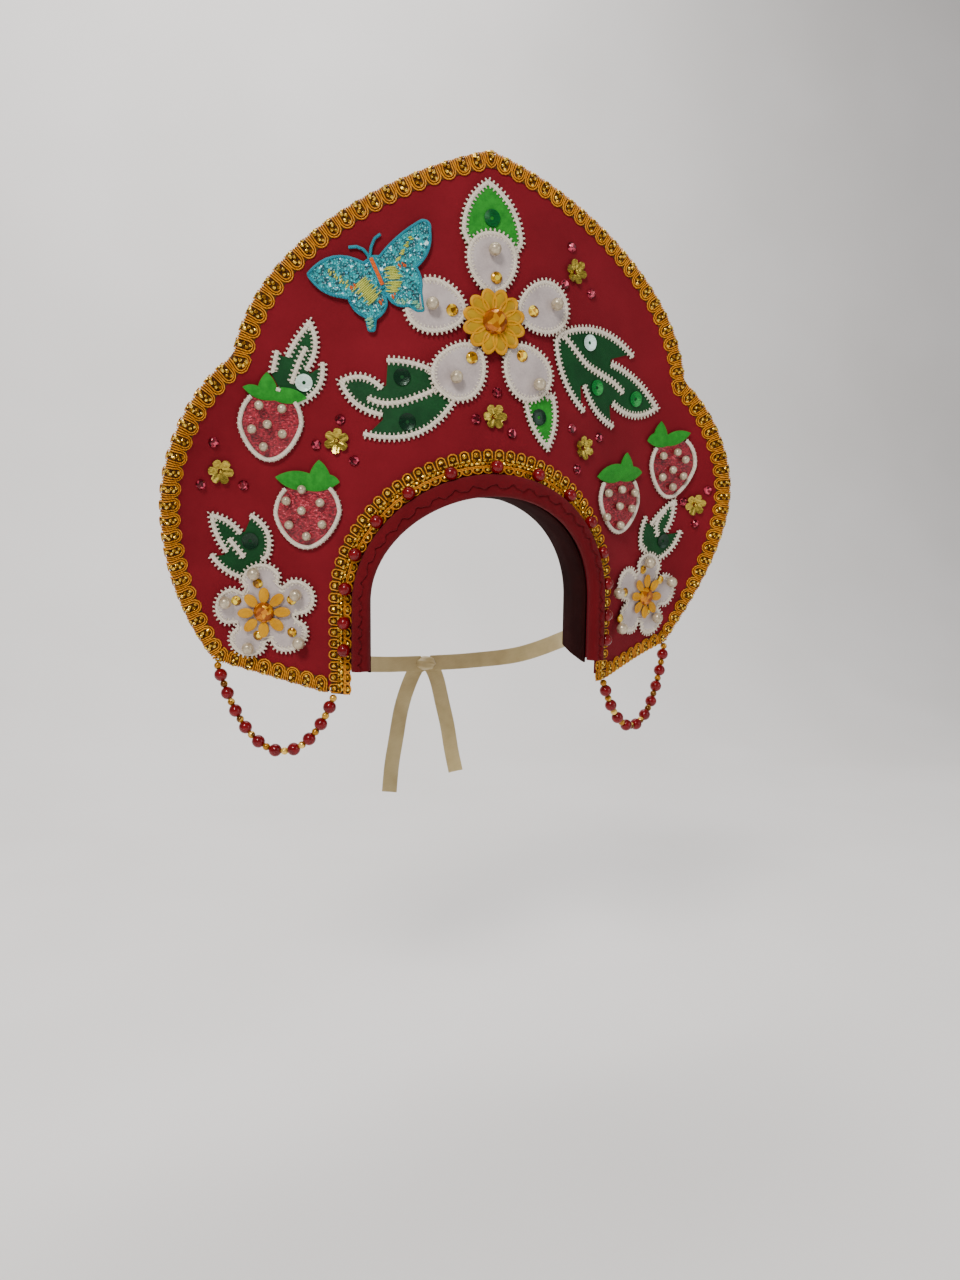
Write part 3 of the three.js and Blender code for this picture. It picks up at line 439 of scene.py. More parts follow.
def made_from(name, points, faces, numbers, materials):
    """A piece from points, faces and the material number of each face."""
    mesh = bpy.data.meshes.new(name)
    mesh.from_pydata([tuple(point) for point in points], [], faces)
    mesh.polygons.foreach_set("material_index", numbers)
    for material in materials:
        mesh.materials.append(material)
    piece = bpy.data.objects.new(name, mesh)
    bpy.context.scene.collection.objects.link(piece)
    return piece


def is_inside(place, outline):
    """Whether a flat place lies within a closed outline."""
    x, z = outline[:, 0], outline[:, 1]
    next_x, next_z = np.roll(x, -1), np.roll(z, -1)
    crosses = (z > place[1]) != (next_z > place[1])
    reach = x + (place[1] - z) * (next_x - x) / np.where(crosses, next_z - z, 1)
    return np.sum(crosses & (place[0] < reach)) % 2 == 1


def sew_row(name, unit, route, pitch, materials, bend=None, covers=()):
    """Copies of one unit set end to end along a route, as one piece. None is set under a cover."""
    points, side, up, run = route
    shape, faces, numbers = unit
    count = max(1, int(round(run[-1] / pitch)))
    step = run[-1] / count
    all_points, all_faces, all_numbers = [], [], []
    for number in range(count):
        along = (number + 0.5) * step + shape[:, 0] * (step / pitch)
        along = np.clip(along, 0, run[-1])
        middle = [np.interp((number + 0.5) * step, run, points[:, axis]) for axis in (0, 2)]
        if any(is_inside(middle, cover) for cover in covers):
            continue
        at, to_side, to_up = (
            np.stack([np.interp(along, run, line[:, axis]) for axis in range(3)], 1)
            for line in (points, side, up)
        )
        across, above = (shape[:, 1], shape[:, 2]) if bend is None else bend(shape[:, 1], shape[:, 2])
        start = sum(len(part) for part in all_points)
        all_points.append(at + to_side * across[:, None] + to_up * above[:, None])
        all_faces += [[start + corner for corner in face] for face in faces]
        all_numbers += numbers
    return made_from(name, np.vstack(all_points), all_faces, all_numbers, materials)


def moved_in(outline, distance, closed=True):
    """The line moved to the left of its run, which is inwards where it runs anticlockwise."""
    line = evenly(outline, 0.0007, closed)
    ahead = np.roll(line, -1, 0) - np.roll(line, 1, 0) if closed else np.gradient(line, axis=0)
    ahead /= np.linalg.norm(ahead, axis=1)[:, None]
    moved = line + np.stack([-ahead[:, 1], ahead[:, 0]], 1) * distance
    near = np.min(np.linalg.norm(moved[:, None] - line[None], axis=2), axis=1)
    return moved[near > distance * 0.93]


def spun_cord(name, dark, light, twist=2600):
    """Shiny rayon cord with a visible twist."""
    cord = Finish(name, Sheen_Weight=0.05, Specular_IOR_Level=0.25)
    strand = ((cord.x + cord.y * 0.6 + cord.z) * twist).maths("SINE") * 0.5 + 0.5
    shade = cord.noise(160, 3) * 0.6 + strand * 0.4
    cord.set(Base_Color=cord.ramp(shade, (0.2, dark), (0.8, light)), Roughness=0.62 - strand * 0.2)
    cord.bump(strand, 0.00018)
    return cord.material


def metallic_thread(name, dark, bright, scale=900):
    """Flat metallic strip laid in the cord: most of it dark, with painted glints where some cells are
    coloured bright for facets catching the light.
    """
    thread = Finish(name)
    spark = thread.cell_tone(scale)
    thread.set(Base_Color=thread.ramp(spark, (0.35, dark), (0.7, bright)), Metallic=0.85)
    thread.set(Roughness=0.42 - spark * 0.2)
    thread.bump(thread.cells(scale), 0.0004)
    return thread.material


orange_cord = spun_cord("orange_gold_cord", dye(166, 96, 0), dye(224, 150, 8))
gold_thread = metallic_thread("gold_metal_thread", dye(140, 92, 10), dye(250, 206, 80))

FOLD = BOARD_THICK / 2 + 0.0002


def fold_over_edge(across, above):
    """Turns what reaches past the board's edge round it and on to the back."""
    angle = np.clip(across / FOLD, 0, math.pi)
    past = np.clip(across - math.pi * FOLD, 0, None)
    reach = FOLD + above
    out = np.where(across < 0, across, reach * np.sin(angle) - past)
    height = np.where(across < 0, reach, reach * np.cos(angle)) - BOARD_THICK / 2
    return out, height


zigzag = []
for row in range(EDGE_KNOBS):
    knob_place = (0.0009 * (-1) ** row, -0.0050 + 0.0019 * row, 0.0006 - 0.0007 * (row > 2))
    zigzag.append(knob(0.0013, knob_place, METAL, segments=7, rings=4, squash=(1.05, 1.05, 0.7)))
braid_unit = take_shape(
    long_loop(0.0045, 0.00045, 0.0114, (0, EDGE_IN, 0.0006)),
    long_loop(0.0031, 0.00042, 0.0062, (0, EDGE_IN, 0.0008)),
    ground_strip(EDGE_UNIT_LONG, -0.0070, 0.0112, 0.0003, cuts=12),
    *zigzag,
)
braid_points = braid_unit[0]
swell = np.cos(math.pi * braid_points[:, 0] / EDGE_UNIT_LONG) ** 2
braid_points[:, 2] += EDGE_SWELL * swell * (braid_points[:, 1] > -0.001)
dark_ground = woven("dark_ground_thread", dye(52, 24, 2), dye(96, 54, 6), 0.0005)
edge_run = np.vstack([[(-0.0996, FOOT - 0.0006)], edge, [(0.0996, FOOT - 0.0006)]])
BRAID_THREADS = [orange_cord, gold_thread, dark_ground]
edge_braid = sew_row(
    "braid_over_edge", braid_unit, route_on_crest(edge_run), EDGE_PITCH, BRAID_THREADS, bend=fold_over_edge
)
finish_piece(edge_braid, None, "gold_braid", "edge_braid", smooth=60)


# Braid round the arch. The same cords, worked wider: loops along both borders and a metallic twist
# between them, with small dark holes. It is glued flat on the board and its cut ends hang just below it.
ARCH_PITCH, ARCH_LIFT, BELOW_FOOT = 0.0073, 0.0008, 0.004
BRAID_ABOVE_TOP, BRAID_BESIDE = 0.0222, 0.0181
arch_unit = take_shape(
    long_loop(0.0028, 0.00042, 0.0030, (0, 0.0014, 0.0012), pieces=2),
    knob(0.0019, (0, 0.0042, 0.0008), METAL, squash=(0.95, 0.95, 0.5)),
    knob(0.0014, (0.0018, 0.0008, 0.0011), METAL, squash=(1.25, 0.8, 0.7)),
    knob(0.0014, (-0.0018, 0.0008, 0.0011), METAL, squash=(1.25, 0.8, 0.7)),
    knob(0.0014, (0.0036, -0.0012, 0.0011), METAL, squash=(1.1, 0.9, 0.7)),
    knob(0.0014, (0, -0.0014, 0.0011), METAL, squash=(1.25, 0.9, 0.7)),
    straight_cord(ARCH_PITCH, 0.0004, -0.0030, 0.0011),
    straight_cord(ARCH_PITCH, 0.0004, -0.0039, 0.0010),
    ring(0.0029, 0.0005, (0, -0.0050, 0.0009), around=14, squash=(1.15, 0.85, 1)),
    knob(0.0016, (0, -0.0052, 0.0006), METAL, squash=(1.1, 0.9, 0.5)),
    ground_strip(0.0074, -0.0068, 0.0064, 0.0004),
)
braid_leg = SPRING - FOOT + BELOW_FOOT
braid_middle = arch_at(np.linspace(-1.5, 1.5, 301), BRAID_ABOVE_TOP, BRAID_BESIDE, braid_leg)
arch_route = route_on_crest(braid_middle, ARCH_LIFT)
arch_braid = sew_row("braid_round_arch", arch_unit, arch_route, ARCH_PITCH, BRAID_THREADS)
finish_piece(arch_braid, None, "gold_braid", "arch_braid", smooth=60)


# Headband. A stiff strip covered in dark lining cloth, painted darker still as shade, runs through the arch
# and back over the head; it flares a little to the back so that it sits on the crown.
def skin(name, rings):
    """A skin over rings of points, closed at both ends."""
    rings = np.asarray(rings, float)
    rings = np.concatenate([rings, rings[:, :1]], 1)
    bpy.ops.object.select_all(action="DESELECT")
    bpy.ops.mesh.primitive_grid_add(x_subdivisions=rings.shape[1] - 1, y_subdivisions=len(rings) - 1)
    piece = bpy.context.object
    piece.name = name
    move_points(piece, rings.reshape(-1, 3))
    bpy.ops.object.mode_set(mode="EDIT")
    bpy.ops.mesh.select_all(action="SELECT")
    bpy.ops.mesh.remove_doubles(threshold=0.000005)
    bpy.ops.mesh.fill_holes(sides=0)
    bpy.ops.mesh.normals_make_consistent(inside=False)
    bpy.ops.object.mode_set(mode="OBJECT")
    return piece


BAND_LEG, BAND_LEG_LOST = 0.045, 0.010
BAND_DEEP, BAND_THICK, BAND_FLARE, BAND_RIM = 0.048, 0.003, 0.005, 0.0008
BAND_POINTS = 13
# Painted shade: the lining's colours are the dark cloth made darker still, for the deep shadow inside the
# band.
lining = woven("lining_cloth", dye(26, 4, 4), dye(46, 10, 9), 0.0006, rough=1.0, sheen=0.0, gloss=0.05)
band_rings = []
for step in np.linspace(-1.5, 1.5, 121):
    lean = np.clip(step, -1, 1) * math.pi / 2
    outward = np.array([math.sin(lean), 0, math.cos(lean)])
    loop = []
    there_and_back = np.concatenate([
        np.linspace(0.002, 0.98, BAND_POINTS),
        np.linspace(0.98, 0.002, BAND_POINTS),
    ])
    for back in there_and_back:
        inner = len(loop) < BAND_POINTS
        rim = BAND_RIM * (back > 0.97 or back < 0.01)
        wall = rim if inner else BAND_THICK - rim
        leg = BAND_LEG - BAND_LEG_LOST * back
        x, z = arch_at(step, wall, wall, leg)
        flare = BAND_FLARE * max(0, back - 0.5) * 2 * 0.75 + BAND_FLARE * 0.25 * min(1, back * 2)
        point = np.array([x, crest_y(x, z) + BAND_DEEP * back, z])
        loop.append(point + outward * flare)
    band_rings.append(loop)
band = skin("lined_headband", band_rings)
finish_piece(band, lining, "lining_cloth", "headband", smooth=50)


# Rim. A roll of wadding covered in crimson felt is sewn round the face opening; the felt is gathered on
# to it with one wavy line of stitches, which pulls a crease all the way round.
RIM_LEG, RIM_HALF_THICK = 0.043, 0.0050
RIM_WIDE_AT_TOP, RIM_WIDE_AT_SIDE = 0.014, 0.010
rim_rings = []
for step in np.linspace(-1.5, 1.5, 421):
    wave = 0.13 * math.sin(step * 66) + 0.04 * math.sin(step * 157)
    lip = math.pi * 0.53 + wave
    corners = np.concatenate([
        np.linspace(0, lip - 0.1, 9),
        [lip - 0.02, lip + 0.02, lip + 0.09],
        np.linspace(lip + 0.22, 2 * math.pi, 17)[:-1],
    ])
    loop = []
    for angle in corners:
        across = math.copysign(abs(math.cos(angle)) ** 0.8, math.cos(angle))
        forward = math.copysign(abs(math.sin(angle)) ** 0.8, math.sin(angle))
        folded = 0.0007 if angle < lip else -0.0007 * math.exp(-(angle - lip) / 0.3)
        pucker = 0.00025 * math.sin(step * 132 + 3 * angle) * math.exp(-abs(angle - lip) / 0.5)
        height = 0.0006 + RIM_HALF_THICK * (1 + forward) + (folded + pucker) * max(forward, 0)
        share = (1 + across) / 2
        x, z = arch_at(step, share * RIM_WIDE_AT_TOP, share * RIM_WIDE_AT_SIDE, RIM_LEG)
        loop.append(crest_face([[x, z]], height)[0][0])
    rim_rings.append(loop)
# Partly painted shade: the felt is crimson, but its colours are set darker than the crest's cloth, down to
# the tone of the rim's shaded side.
felt = woven("crimson_felt", dye(86, 5, 13), dye(106, 11, 21), 0.0009,
             rough=0.95, sheen=0.02, relief=0.00012)
rim = skin("padded_rim", rim_rings)
finish_piece(rim, felt, "padded_cloth", "rim_roll", smooth=60)


# Red pearls on the arch. Drilled glass pearls with a bright red lacquer, sewn one by one where the braid
# meets the rim.
RED_RADIUS, BRAID_TOP = 0.0043, 0.0030
HOLE_SHARE, THREAD_LEAN = 0.12, 70
BEADS_ABOVE_TOP, BEADS_BESIDE, BEAD_LEG = 0.0183, 0.0143, 0.032
BEAD_SHARES = [0.17, 0.332, 0.481, 0.621, 0.753, 0.882, 0.986]


def pearl(name, radius, place, segments=28, rings=18):
    """A drilled ball: its two ends are sunk where the thread goes in."""
    ball = knob(radius, (0, 0, 0), segments=segments, rings=rings)
    ball.name = name
    points = flat_places(ball)
    from_axis = np.hypot(points[:, 0], points[:, 1])
    sunk = np.clip(1 - from_axis / (radius * HOLE_SHARE * 2), 0, 1)
    points[:, 2] *= 1 - 0.25 * sunk
    move_points(ball, points)
    ball.data.transform(Matrix.Translation(place) @ Matrix.Rotation(math.radians(THREAD_LEAN), 4, "Y"))
    return ball


def seat_at(place, lift):
    """The point that lies so far above a flat place on the crest."""
    return crest_face([place], lift)[0][0]


def lacquer(name, deep, bright, metal=0.0):
    """Pearl lacquer: a deep colour under a clear coat, with a faint cloudy shimmer."""
    coat = Finish(name, Coat_Weight=0.5, Coat_Roughness=0.07, Specular_IOR_Level=0.1, Metallic=metal)
    cloud = coat.noise(240, 3)
    coat.set(Base_Color=coat.ramp(cloud, (0.3, deep), (0.7, bright)))
    coat.set(Roughness=0.22 + cloud * 0.12)
    coat.bump(coat.noise(1400, 2), 0.00002)
    return coat.material


red_lacquer = lacquer("red_pearl_lacquer", dye(96, 0, 6), dye(126, 0, 12), 0.1)
bead_line = arch_at(np.linspace(0, 1.4, 400), BEADS_ABOVE_TOP, BEADS_BESIDE, BEAD_LEG / 0.8)
run = running_length(bead_line)
leg_end = np.argmin(np.abs(bead_line[:, 1] - (SPRING - BEAD_LEG)))
right = [
    [np.interp(share * run[leg_end], run, bead_line[:, axis]) for axis in (0, 1)]
    for share in BEAD_SHARES
]
places = [(-x, z) for x, z in right[::-1]] + [tuple(bead_line[0])] + [tuple(place) for place in right]
for number, place in enumerate(places):
    bead = pearl(f"red_pearl_{number + 1:02d}", RED_RADIUS, seat_at(place, BRAID_TOP + RED_RADIUS))
    finish_piece(bead, red_lacquer, "red_pearl", f"arch_bead_{number + 1:02d}", smooth=80)


# Lace. A white cord with tiny picots along both borders, sewn round every petal and leaf. Nothing is sewn
# where another piece covers it, and each such piece adds its outline to the covers.
LACE_PITCH = 0.0030
PATCH_GRAIN, SOFT_BORDER = 0.003, 0.004
covers = []


def spot_outline(centre, wide, high=None, steps=40, narrowing=0.0):
    """An oval, narrower at its foot where that is asked for."""
    angle = np.linspace(0, 2 * math.pi, steps, endpoint=False)
    x = wide * np.cos(angle) * (1 + narrowing * np.minimum(np.sin(angle), 0))
    return np.stack([x, (high or wide) * np.sin(angle)], 1) + centre


white_cord = spun_cord("white_soutache", dye(196, 184, 164), dye(228, 218, 202), 3000)
lace_cord = straight_cord(LACE_PITCH, 0.0013, 0.0022, sides=8)
move_points(lace_cord, flat_places(lace_cord) * (1, 1, 0.6) + (0, 0, 0.0005))
lace = take_shape(
    lace_cord,
    knob(0.0006, (0, 0.0003, 0.0007), segments=6, rings=4, squash=(1.2, 2.2, 0.9)),
    knob(0.0005, (0, 0.0041, 0.0007), segments=6, rings=4, squash=(1.35, 2.2, 0.9)),
)


def anticlockwise(outline):
    outline = np.asarray(outline, float)
    x, z = outline[:, 0], outline[:, 1]
    return outline if np.sum(x * np.roll(z, -1) - z * np.roll(x, -1)) > 0 else outline[::-1]


def sew_lace(name, line, lift, closed=True, unit=lace):
    """Lace along a line. It lies to the left of the run, so inside an anticlockwise outline."""
    row = sew_row(name, unit, route_on_crest(line, lift, closed), LACE_PITCH, [white_cord], covers=covers)
    return finish_piece(row, None, "satin", smooth=60)


def curved_outline(rows, size, centre):
    """Corners joined by bowed sides. Gives the whole outline and the runs that carry lace."""
    corners = [np.array(row[:2]) * size + centre for row in rows]
    outline, runs, current = [], [], []
    for number, row in enumerate(rows):
        start, end = corners[number - 1], corners[number]
        bulge = row[2] if len(row) > 2 else 0
        side = end - start
        middle = (start + end) / 2 + np.array([-side[1], side[0]]) * 2 * bulge
        t = np.linspace(0, 1, 9)[:, None]
        curve = (1 - t) ** 2 * start + 2 * t * (1 - t) * middle + t**2 * end
        outline.append(curve[1:])
        if len(row) > 3:
            if current:
                runs.append(np.vstack(current))
            current = []
        else:
            current.append(curve[1:] if current else curve)
    if current and runs and len(rows[0]) < 4:
        runs[0] = np.vstack([*current, runs[0][1:]])
    elif current:
        runs.append(np.vstack(current))
    return anticlockwise(np.vstack(outline)), runs


def puffed(name, outline, lift, thickness, rise):
    """A cut piece laid on the crest, a little higher in its middle than at its sewn border."""
    piece = cut_cloth(name, outline, PATCH_GRAIN)
    border = evenly(outline, 0.001, closed=True)
    places = flat_places(piece)[:, [0, 2]]
    inside = np.min(np.linalg.norm(places[:, None] - border[None], axis=2), axis=1)
    lay_on_crest(piece, lift + thickness + rise * (1 - np.exp(-inside / SOFT_BORDER)))
    thicken(piece, thickness)
    return piece


# Butterfly. A stock embroidered patch on felt: iridescent turquoise sequin cloth inside a stitched border,
# an orange body and spots, and patches of yellow-green satin stitch beside the body and down the tails.
WING_SPAN = 0.078
WING_LIFT, WING_THICK, WING_RISE = 0.0004, 0.0024, 0.0006
SEQUIN_CELLS = 640
STITCH_HALF_WIDE, STITCH_HALF_HIGH = 0.00062, 0.0008
butterfly = crest_place(-0.369, 0.762)
WINGS = [
    # corners as shares of the span: (x, z, bow of the side leading there)
    [-0.5, 0.03, 0.12], [-0.08, 0.12, 0.2], [-0.01, 0.17], [0.04, 0.17], [0.36, 0.45, 0.05],
    [0.42, 0.38, 0.3], [0.31, 0.1, 0.14], [0.35, -0.08, 0.1], [0.37, -0.23], [0.32, -0.23],
    [0.26, -0.19], [0.09, -0.1, 0.2], [0.05, -0.08], [0.09, -0.19, 0.1], [0.01, -0.29, 0.1],
    [0, -0.38], [-0.04, -0.38], [-0.06, -0.28], [-0.19, -0.14, 0.12], [-0.24, -0.13],
]
sequin_cloth = Finish("turquoise_sequin_cloth", Coat_Weight=0.2, Coat_Roughness=0.1)
scale_tone = sequin_cloth.cell_tone(SEQUIN_CELLS)
# Painted glints: near-white spots painted into the colour where a noise passes 0.64.
spark = sequin_cloth.noise(340, 2) > 0.64
tone = sequin_cloth.ramp(
    scale_tone, (0.1, dye(0, 64, 72)), (0.5, dye(0, 110, 118)), (0.9, dye(6, 156, 162))
)
glint = sequin_cloth.ramp(scale_tone, (0.3, dye(20, 164, 196)), (0.6, dye(215, 252, 250)))
sequin_cloth.set(Base_Color=sequin_cloth.blend(spark, tone, glint))
sequin_cloth.set(Metallic=0.25, Roughness=0.3 + scale_tone * 0.2)
sequin_cloth.bump(sequin_cloth.cells(SEQUIN_CELLS), 0.0006)
wing_outline = curved_outline(WINGS, WING_SPAN, butterfly)[0]
wings = puffed("butterfly_cloth", wing_outline, WING_LIFT, WING_THICK, WING_RISE)
finish_piece(wings, sequin_cloth.material, "sequin_cloth", "butterfly")
turquoise_thread = spun_cord("turquoise_thread", dye(0, 88, 106), dye(30, 150, 168), 5200)
orange_thread = spun_cord("orange_thread", dye(178, 60, 6), dye(232, 110, 28), 5200)
lime_thread = spun_cord("lime_thread", dye(140, 160, 40), dye(214, 212, 100), 5200)
pale_thread = spun_cord("pale_green_thread", dye(90, 166, 130), dye(160, 214, 170), 5200)


def metres(millimetres):
    return np.array(millimetres) * 0.001


def stitched_line(name, line, radius, lift, thread, closed=False):
    """A thick line of stitches side by side, sewn as one cord."""
    stitch = 0.001
    unit = take_shape(straight_cord(stitch, radius, 0, radius * 0.3, sides=7))
    row = sew_row(name, unit, route_on_crest(line, lift, closed), stitch, [thread])
    return finish_piece(row, None, "sequin_cloth", smooth=70)


def satin_stitches(name, ends, thread):
    """Rows of stitches side by side. Each row gives its first and its last stitch, both from (x, z) to
    (x, z) in millimetres, and the number of its stitches."""
    points, faces = [], []
    shape, shape_faces, _ = take_shape(knob(1, segments=6, rings=4))
    for first, last, count in ends:
        for number in range(count):
            share = (number + 0.5) / count
            low = np.array(first[:2]) * (1 - share) + np.array(last[:2]) * share
            high = np.array(first[2:]) * (1 - share) + np.array(last[2:]) * share
            low, high = low * 0.001, high * 0.001
            along = high - low
            length = np.linalg.norm(along) * (0.86 + 0.26 * math.sin(number * 2.4))
            ahead = along / np.linalg.norm(along)
            middle = (low + high) / 2 + ahead * 0.0011 * math.sin(number * 4.1)
            flat = middle + shape[:, :1] * ahead * length / 2
            flat = flat + shape[:, 1:2] * np.array([-ahead[1], ahead[0]]) * STITCH_HALF_WIDE
            seat, normal = crest_face(flat, WING_LIFT + WING_THICK + 0.0005)
            start = sum(len(part) for part in points)
            points.append(seat + normal * shape[:, 2:] * STITCH_HALF_HIGH)
            faces += [[start + corner for corner in face] for face in shape_faces]
    patch = made_from(name, np.vstack(points), faces, [0] * len(faces), [thread])
    return finish_piece(patch, None, "sequin_cloth", smooth=70)


WING_TOP = WING_LIFT + WING_THICK
stitched_line("butterfly_border", wing_outline, 0.0010, WING_TOP - 0.0006, turquoise_thread, closed=True)
BUTTERFLY_LINES = {
    # thread, radius, and places in mm
    "body_edge_left": (turquoise_thread, 0.0009,
                       [[-75.4, 142.8], [-72.6, 135.6], [-69.6, 129.6], [-67.2, 124.4]]),
    "body_edge_right": (turquoise_thread, 0.0009,
                        [[-72.6, 142.8], [-70.2, 137.6], [-68.0, 131.4], [-66.4, 124.8]]),
    "body": (orange_thread, 0.0014,
             [[-74.0, 142.1], [-71.3, 136.3], [-69.0, 131.2], [-67.2, 126.6]]),
    "antenna_left": (turquoise_thread, 0.0010,
                     [[-74.7, 142.8], [-78.1, 147.4], [-82.4, 149.0], [-87.0, 148.4]]),
    "antenna_right": (turquoise_thread, 0.0010,
                      [[-74.4, 142.8], [-73.8, 148.8], [-71.7, 153.9], [-68.3, 156.5]]),
}
for name, (thread, radius, line) in BUTTERFLY_LINES.items():
    lift = WING_TOP * 0.4 if "antenna" in name else WING_TOP + 0.0002
    stitched_line("butterfly_" + name, evenly(metres(line), 0.0008), radius, lift, thread)
satin_stitches("butterfly_lime_patches", [
    ((-86.0, 124.0, -75.8, 133.2), (-75.9, 113.8, -67.2, 121.8), 13),
    ((-66.6, 137.0, -58.6, 138.2), (-65.8, 129.8, -53.4, 130.6), 8),
    ((-65.6, 128.8, -53.6, 129.4), (-64.8, 122.8, -58.2, 122.4), 7),
    ((-60.2, 139.4, -56.6, 142.0), (-51.4, 155.4, -48.4, 156.2), 10),
    ((-99.4, 133.6, -98.6, 136.6), (-87.8, 124.6, -85.6, 127.4), 10),
], lime_thread)
satin_stitches("butterfly_tails", [
    ((-77.2, 107.6, -72.0, 107.8), (-75.0, 100.8, -72.8, 100.8), 8),
    ((-50.6, 117.6, -46.0, 118.0), (-46.0, 112.4, -43.6, 113.2), 6),
    ((-60.0, 116.6, -58.0, 119.4), (-53.0, 115.2, -52.0, 118.4), 6),
], pale_thread)
satin_stitches("butterfly_spots", [
    ((-86.4, 124.0, -86.0, 126.6), (-83.0, 124.6, -82.0, 127.6), 4),
    ((-69.2, 115.6, -69.2, 118.4), (-66.8, 115.6, -66.8, 118.4), 3),
    ((-58.4, 137.6, -58.0, 139.6), (-53.2, 137.6, -53.2, 140.2), 5),
    ((-62.0, 119.2, -62.0, 121.8), (-59.6, 119.2, -59.6, 121.8), 3),
], orange_thread)
covers.append(wing_outline)


# Large flower. Five pale satin petals with a big pearl and a gold rhinestone each, under a moulded yellow
# daisy with a domed amber stone.
FLOWER_REACH = 0.056
SATIN_INSIDE_LACE, COVERED_INSIDE_LACE = 0.0012, 0.0014
SATIN_THICK, SATIN_RISE = 0.0008, 0.0008
PEARL_RADIUS, FACETS = 0.004, 8
DAISY_PETALS, DAISY_PETAL_OUT = 12, 0.0126
flower = crest_place(0, 0.692)
PETALS = {
    # angle, and the distance of the pearl from the middle as a share of the petal's reach
    "petal_1": (90, 0.77),
    "petal_2": (167, 0.70),
    "petal_3": (19, 0.79),
    "petal_4": (235, 0.75),
    "petal_5": (309, 0.83),
}
satin = woven("pale_satin", dye(150, 136, 134), dye(204, 192, 188), 0.0004,
              rough=0.5, sheen=0.1, relief=0.00002, mottle=60, gloss=0.4)
cream_pearl = lacquer("cream_pearl_lacquer", dye(164, 148, 122), dye(204, 190, 164), 0.35)


def set_on_crest(piece, place, lift):
    """Puts down a piece that was made at the origin, square to the crest."""
    seat, normal = crest_face([place], lift)
    turn = Vector((0, 0, 1)).rotation_difference(Vector(normal[0])).to_matrix().to_4x4()
    piece.data.transform(Matrix.Translation(seat[0]) @ turn)


def cut_stone(name, place, radius, height, material, slot, lift, *nodes):
    """A flat-backed faceted stone: a table and two rows of facets."""
    bpy.ops.object.select_all(action="DESELECT")
    bpy.ops.mesh.primitive_cylinder_add(vertices=FACETS * 2, radius=radius, depth=height * 0.3)
    stone = bpy.context.object
    stone.name = name
    bpy.ops.object.mode_set(mode="EDIT")
    bpy.ops.mesh.select_mode(type="FACE")
    bpy.ops.mesh.select_all(action="DESELECT")
    bpy.ops.object.mode_set(mode="OBJECT")
    for face in stone.data.polygons:
        face.select = face.normal.z > 0.9
    bpy.ops.object.mode_set(mode="EDIT")
    for size, rise in ((0.84, 0.38), (0.7, 0.32)):
        bpy.ops.mesh.extrude_region_move(TRANSFORM_OT_translate={"value": (0, 0, height * rise)})
        bpy.ops.transform.resize(value=(size, size, 1))
        bpy.ops.transform.rotate(value=math.pi / FACETS / 2, orient_axis="Z", center_override=(0, 0, 0))
    bpy.ops.object.mode_set(mode="OBJECT")
    set_on_crest(stone, place, lift + height * 0.15)
    return finish_piece(stone, material, slot, *nodes, smooth=5)


def foiled_stone(name, deep, middle, bright, scale=300):
    """A clear plastic stone with foil behind it, coloured in patches from deep to bright: the deep and
    middle tones are its own colour, the bright end is painted glints for the light that the facets throw
    back.
    """
    stone = Finish(name, Coat_Weight=0.3, Coat_Roughness=0.02, Specular_IOR_Level=0.2)
    tone = stone.cell_tone(scale)
    stone.set(Base_Color=stone.ramp(tone, (0.15, deep), (0.6, middle), (0.95, bright)), Metallic=0.5)
    stone.set(Roughness=0.08 + tone * 0.14)
    stone.bump(stone.noise(500, 1), 0.00004)
    return stone.material


# The bright tone given to each foiled stone, and to the gold beads further on, is a painted glint.
gold_stone = foiled_stone("gold_foiled_stone", dye(120, 76, 0), dye(210, 150, 6), dye(255, 226, 70), 420)
amber = foiled_stone("amber_foiled_stone", dye(138, 66, 0), dye(188, 104, 0), dye(238, 168, 0), 330)


def petal_outline(angle):
    """An egg shape that points away from the flower's middle."""
    t = np.linspace(0, 2 * math.pi, 40, endpoint=False)
    out = 0.65 + 0.35 * np.cos(t)
    across = 0.305 * np.sin(t) * (1 + 0.16 * np.cos(t))
    turn = math.radians(angle)
    x = out * math.cos(turn) - across * math.sin(turn)
    z = out * math.sin(turn) + across * math.cos(turn)
    return np.stack([x, z], 1) * FLOWER_REACH + flower


def towards(centre, reach, angle):
    turn = math.radians(angle)
    return centre + reach * np.array([math.cos(turn), math.sin(turn)])


covers.append(spot_outline(flower, 0.017))
for layer, (name, (angle, pearl_at)) in enumerate(PETALS.items()):
    outline = petal_outline(angle)
    lift = 0.0012 + 0.0003 * (layer % 3)
    petal = puffed(name + "_satin", moved_in(outline, SATIN_INSIDE_LACE), lift, SATIN_THICK, SATIN_RISE)
    finish_piece(petal, satin, "satin", name)
    sew_lace(name + "_lace", outline, lift + 0.0005)
    seat = seat_at(towards(flower, pearl_at * FLOWER_REACH, angle), lift + 0.0016 + 0.0038)
    ball = pearl(name + "_pearl", PEARL_RADIUS, seat)
    finish_piece(ball, cream_pearl, "satin", smooth=80)
for angle, _ in PETALS.values():
    covers.append(moved_in(petal_outline(angle), COVERED_INSIDE_LACE))
GOLD_STONES = [(2, 134), (-26, 113), (27, 116), (-14, 85), (19, 88)]  # in mm
for number, place in enumerate(GOLD_STONES):
    cut_stone(f"petal_stone_{number + 1}", metres(place), 0.0038, 0.0018, gold_stone, "gold_foil", 0.0030)


def moulded(name, deep, bright, rough=0.34):
    """Moulded plastic: even colour, a soft gloss, and flow marks that hardly show."""
    plastic = Finish(name, Coat_Weight=0.05, Coat_Roughness=0.2, Specular_IOR_Level=0.15)
    flow = plastic.noise(120, 3)
    plastic.set(Base_Color=plastic.ramp(flow, (0.3, deep), (0.7, bright)), Roughness=rough + flow * 0.12)
    plastic.bump(plastic.noise(600, 2), 0.00006)
    return plastic.material


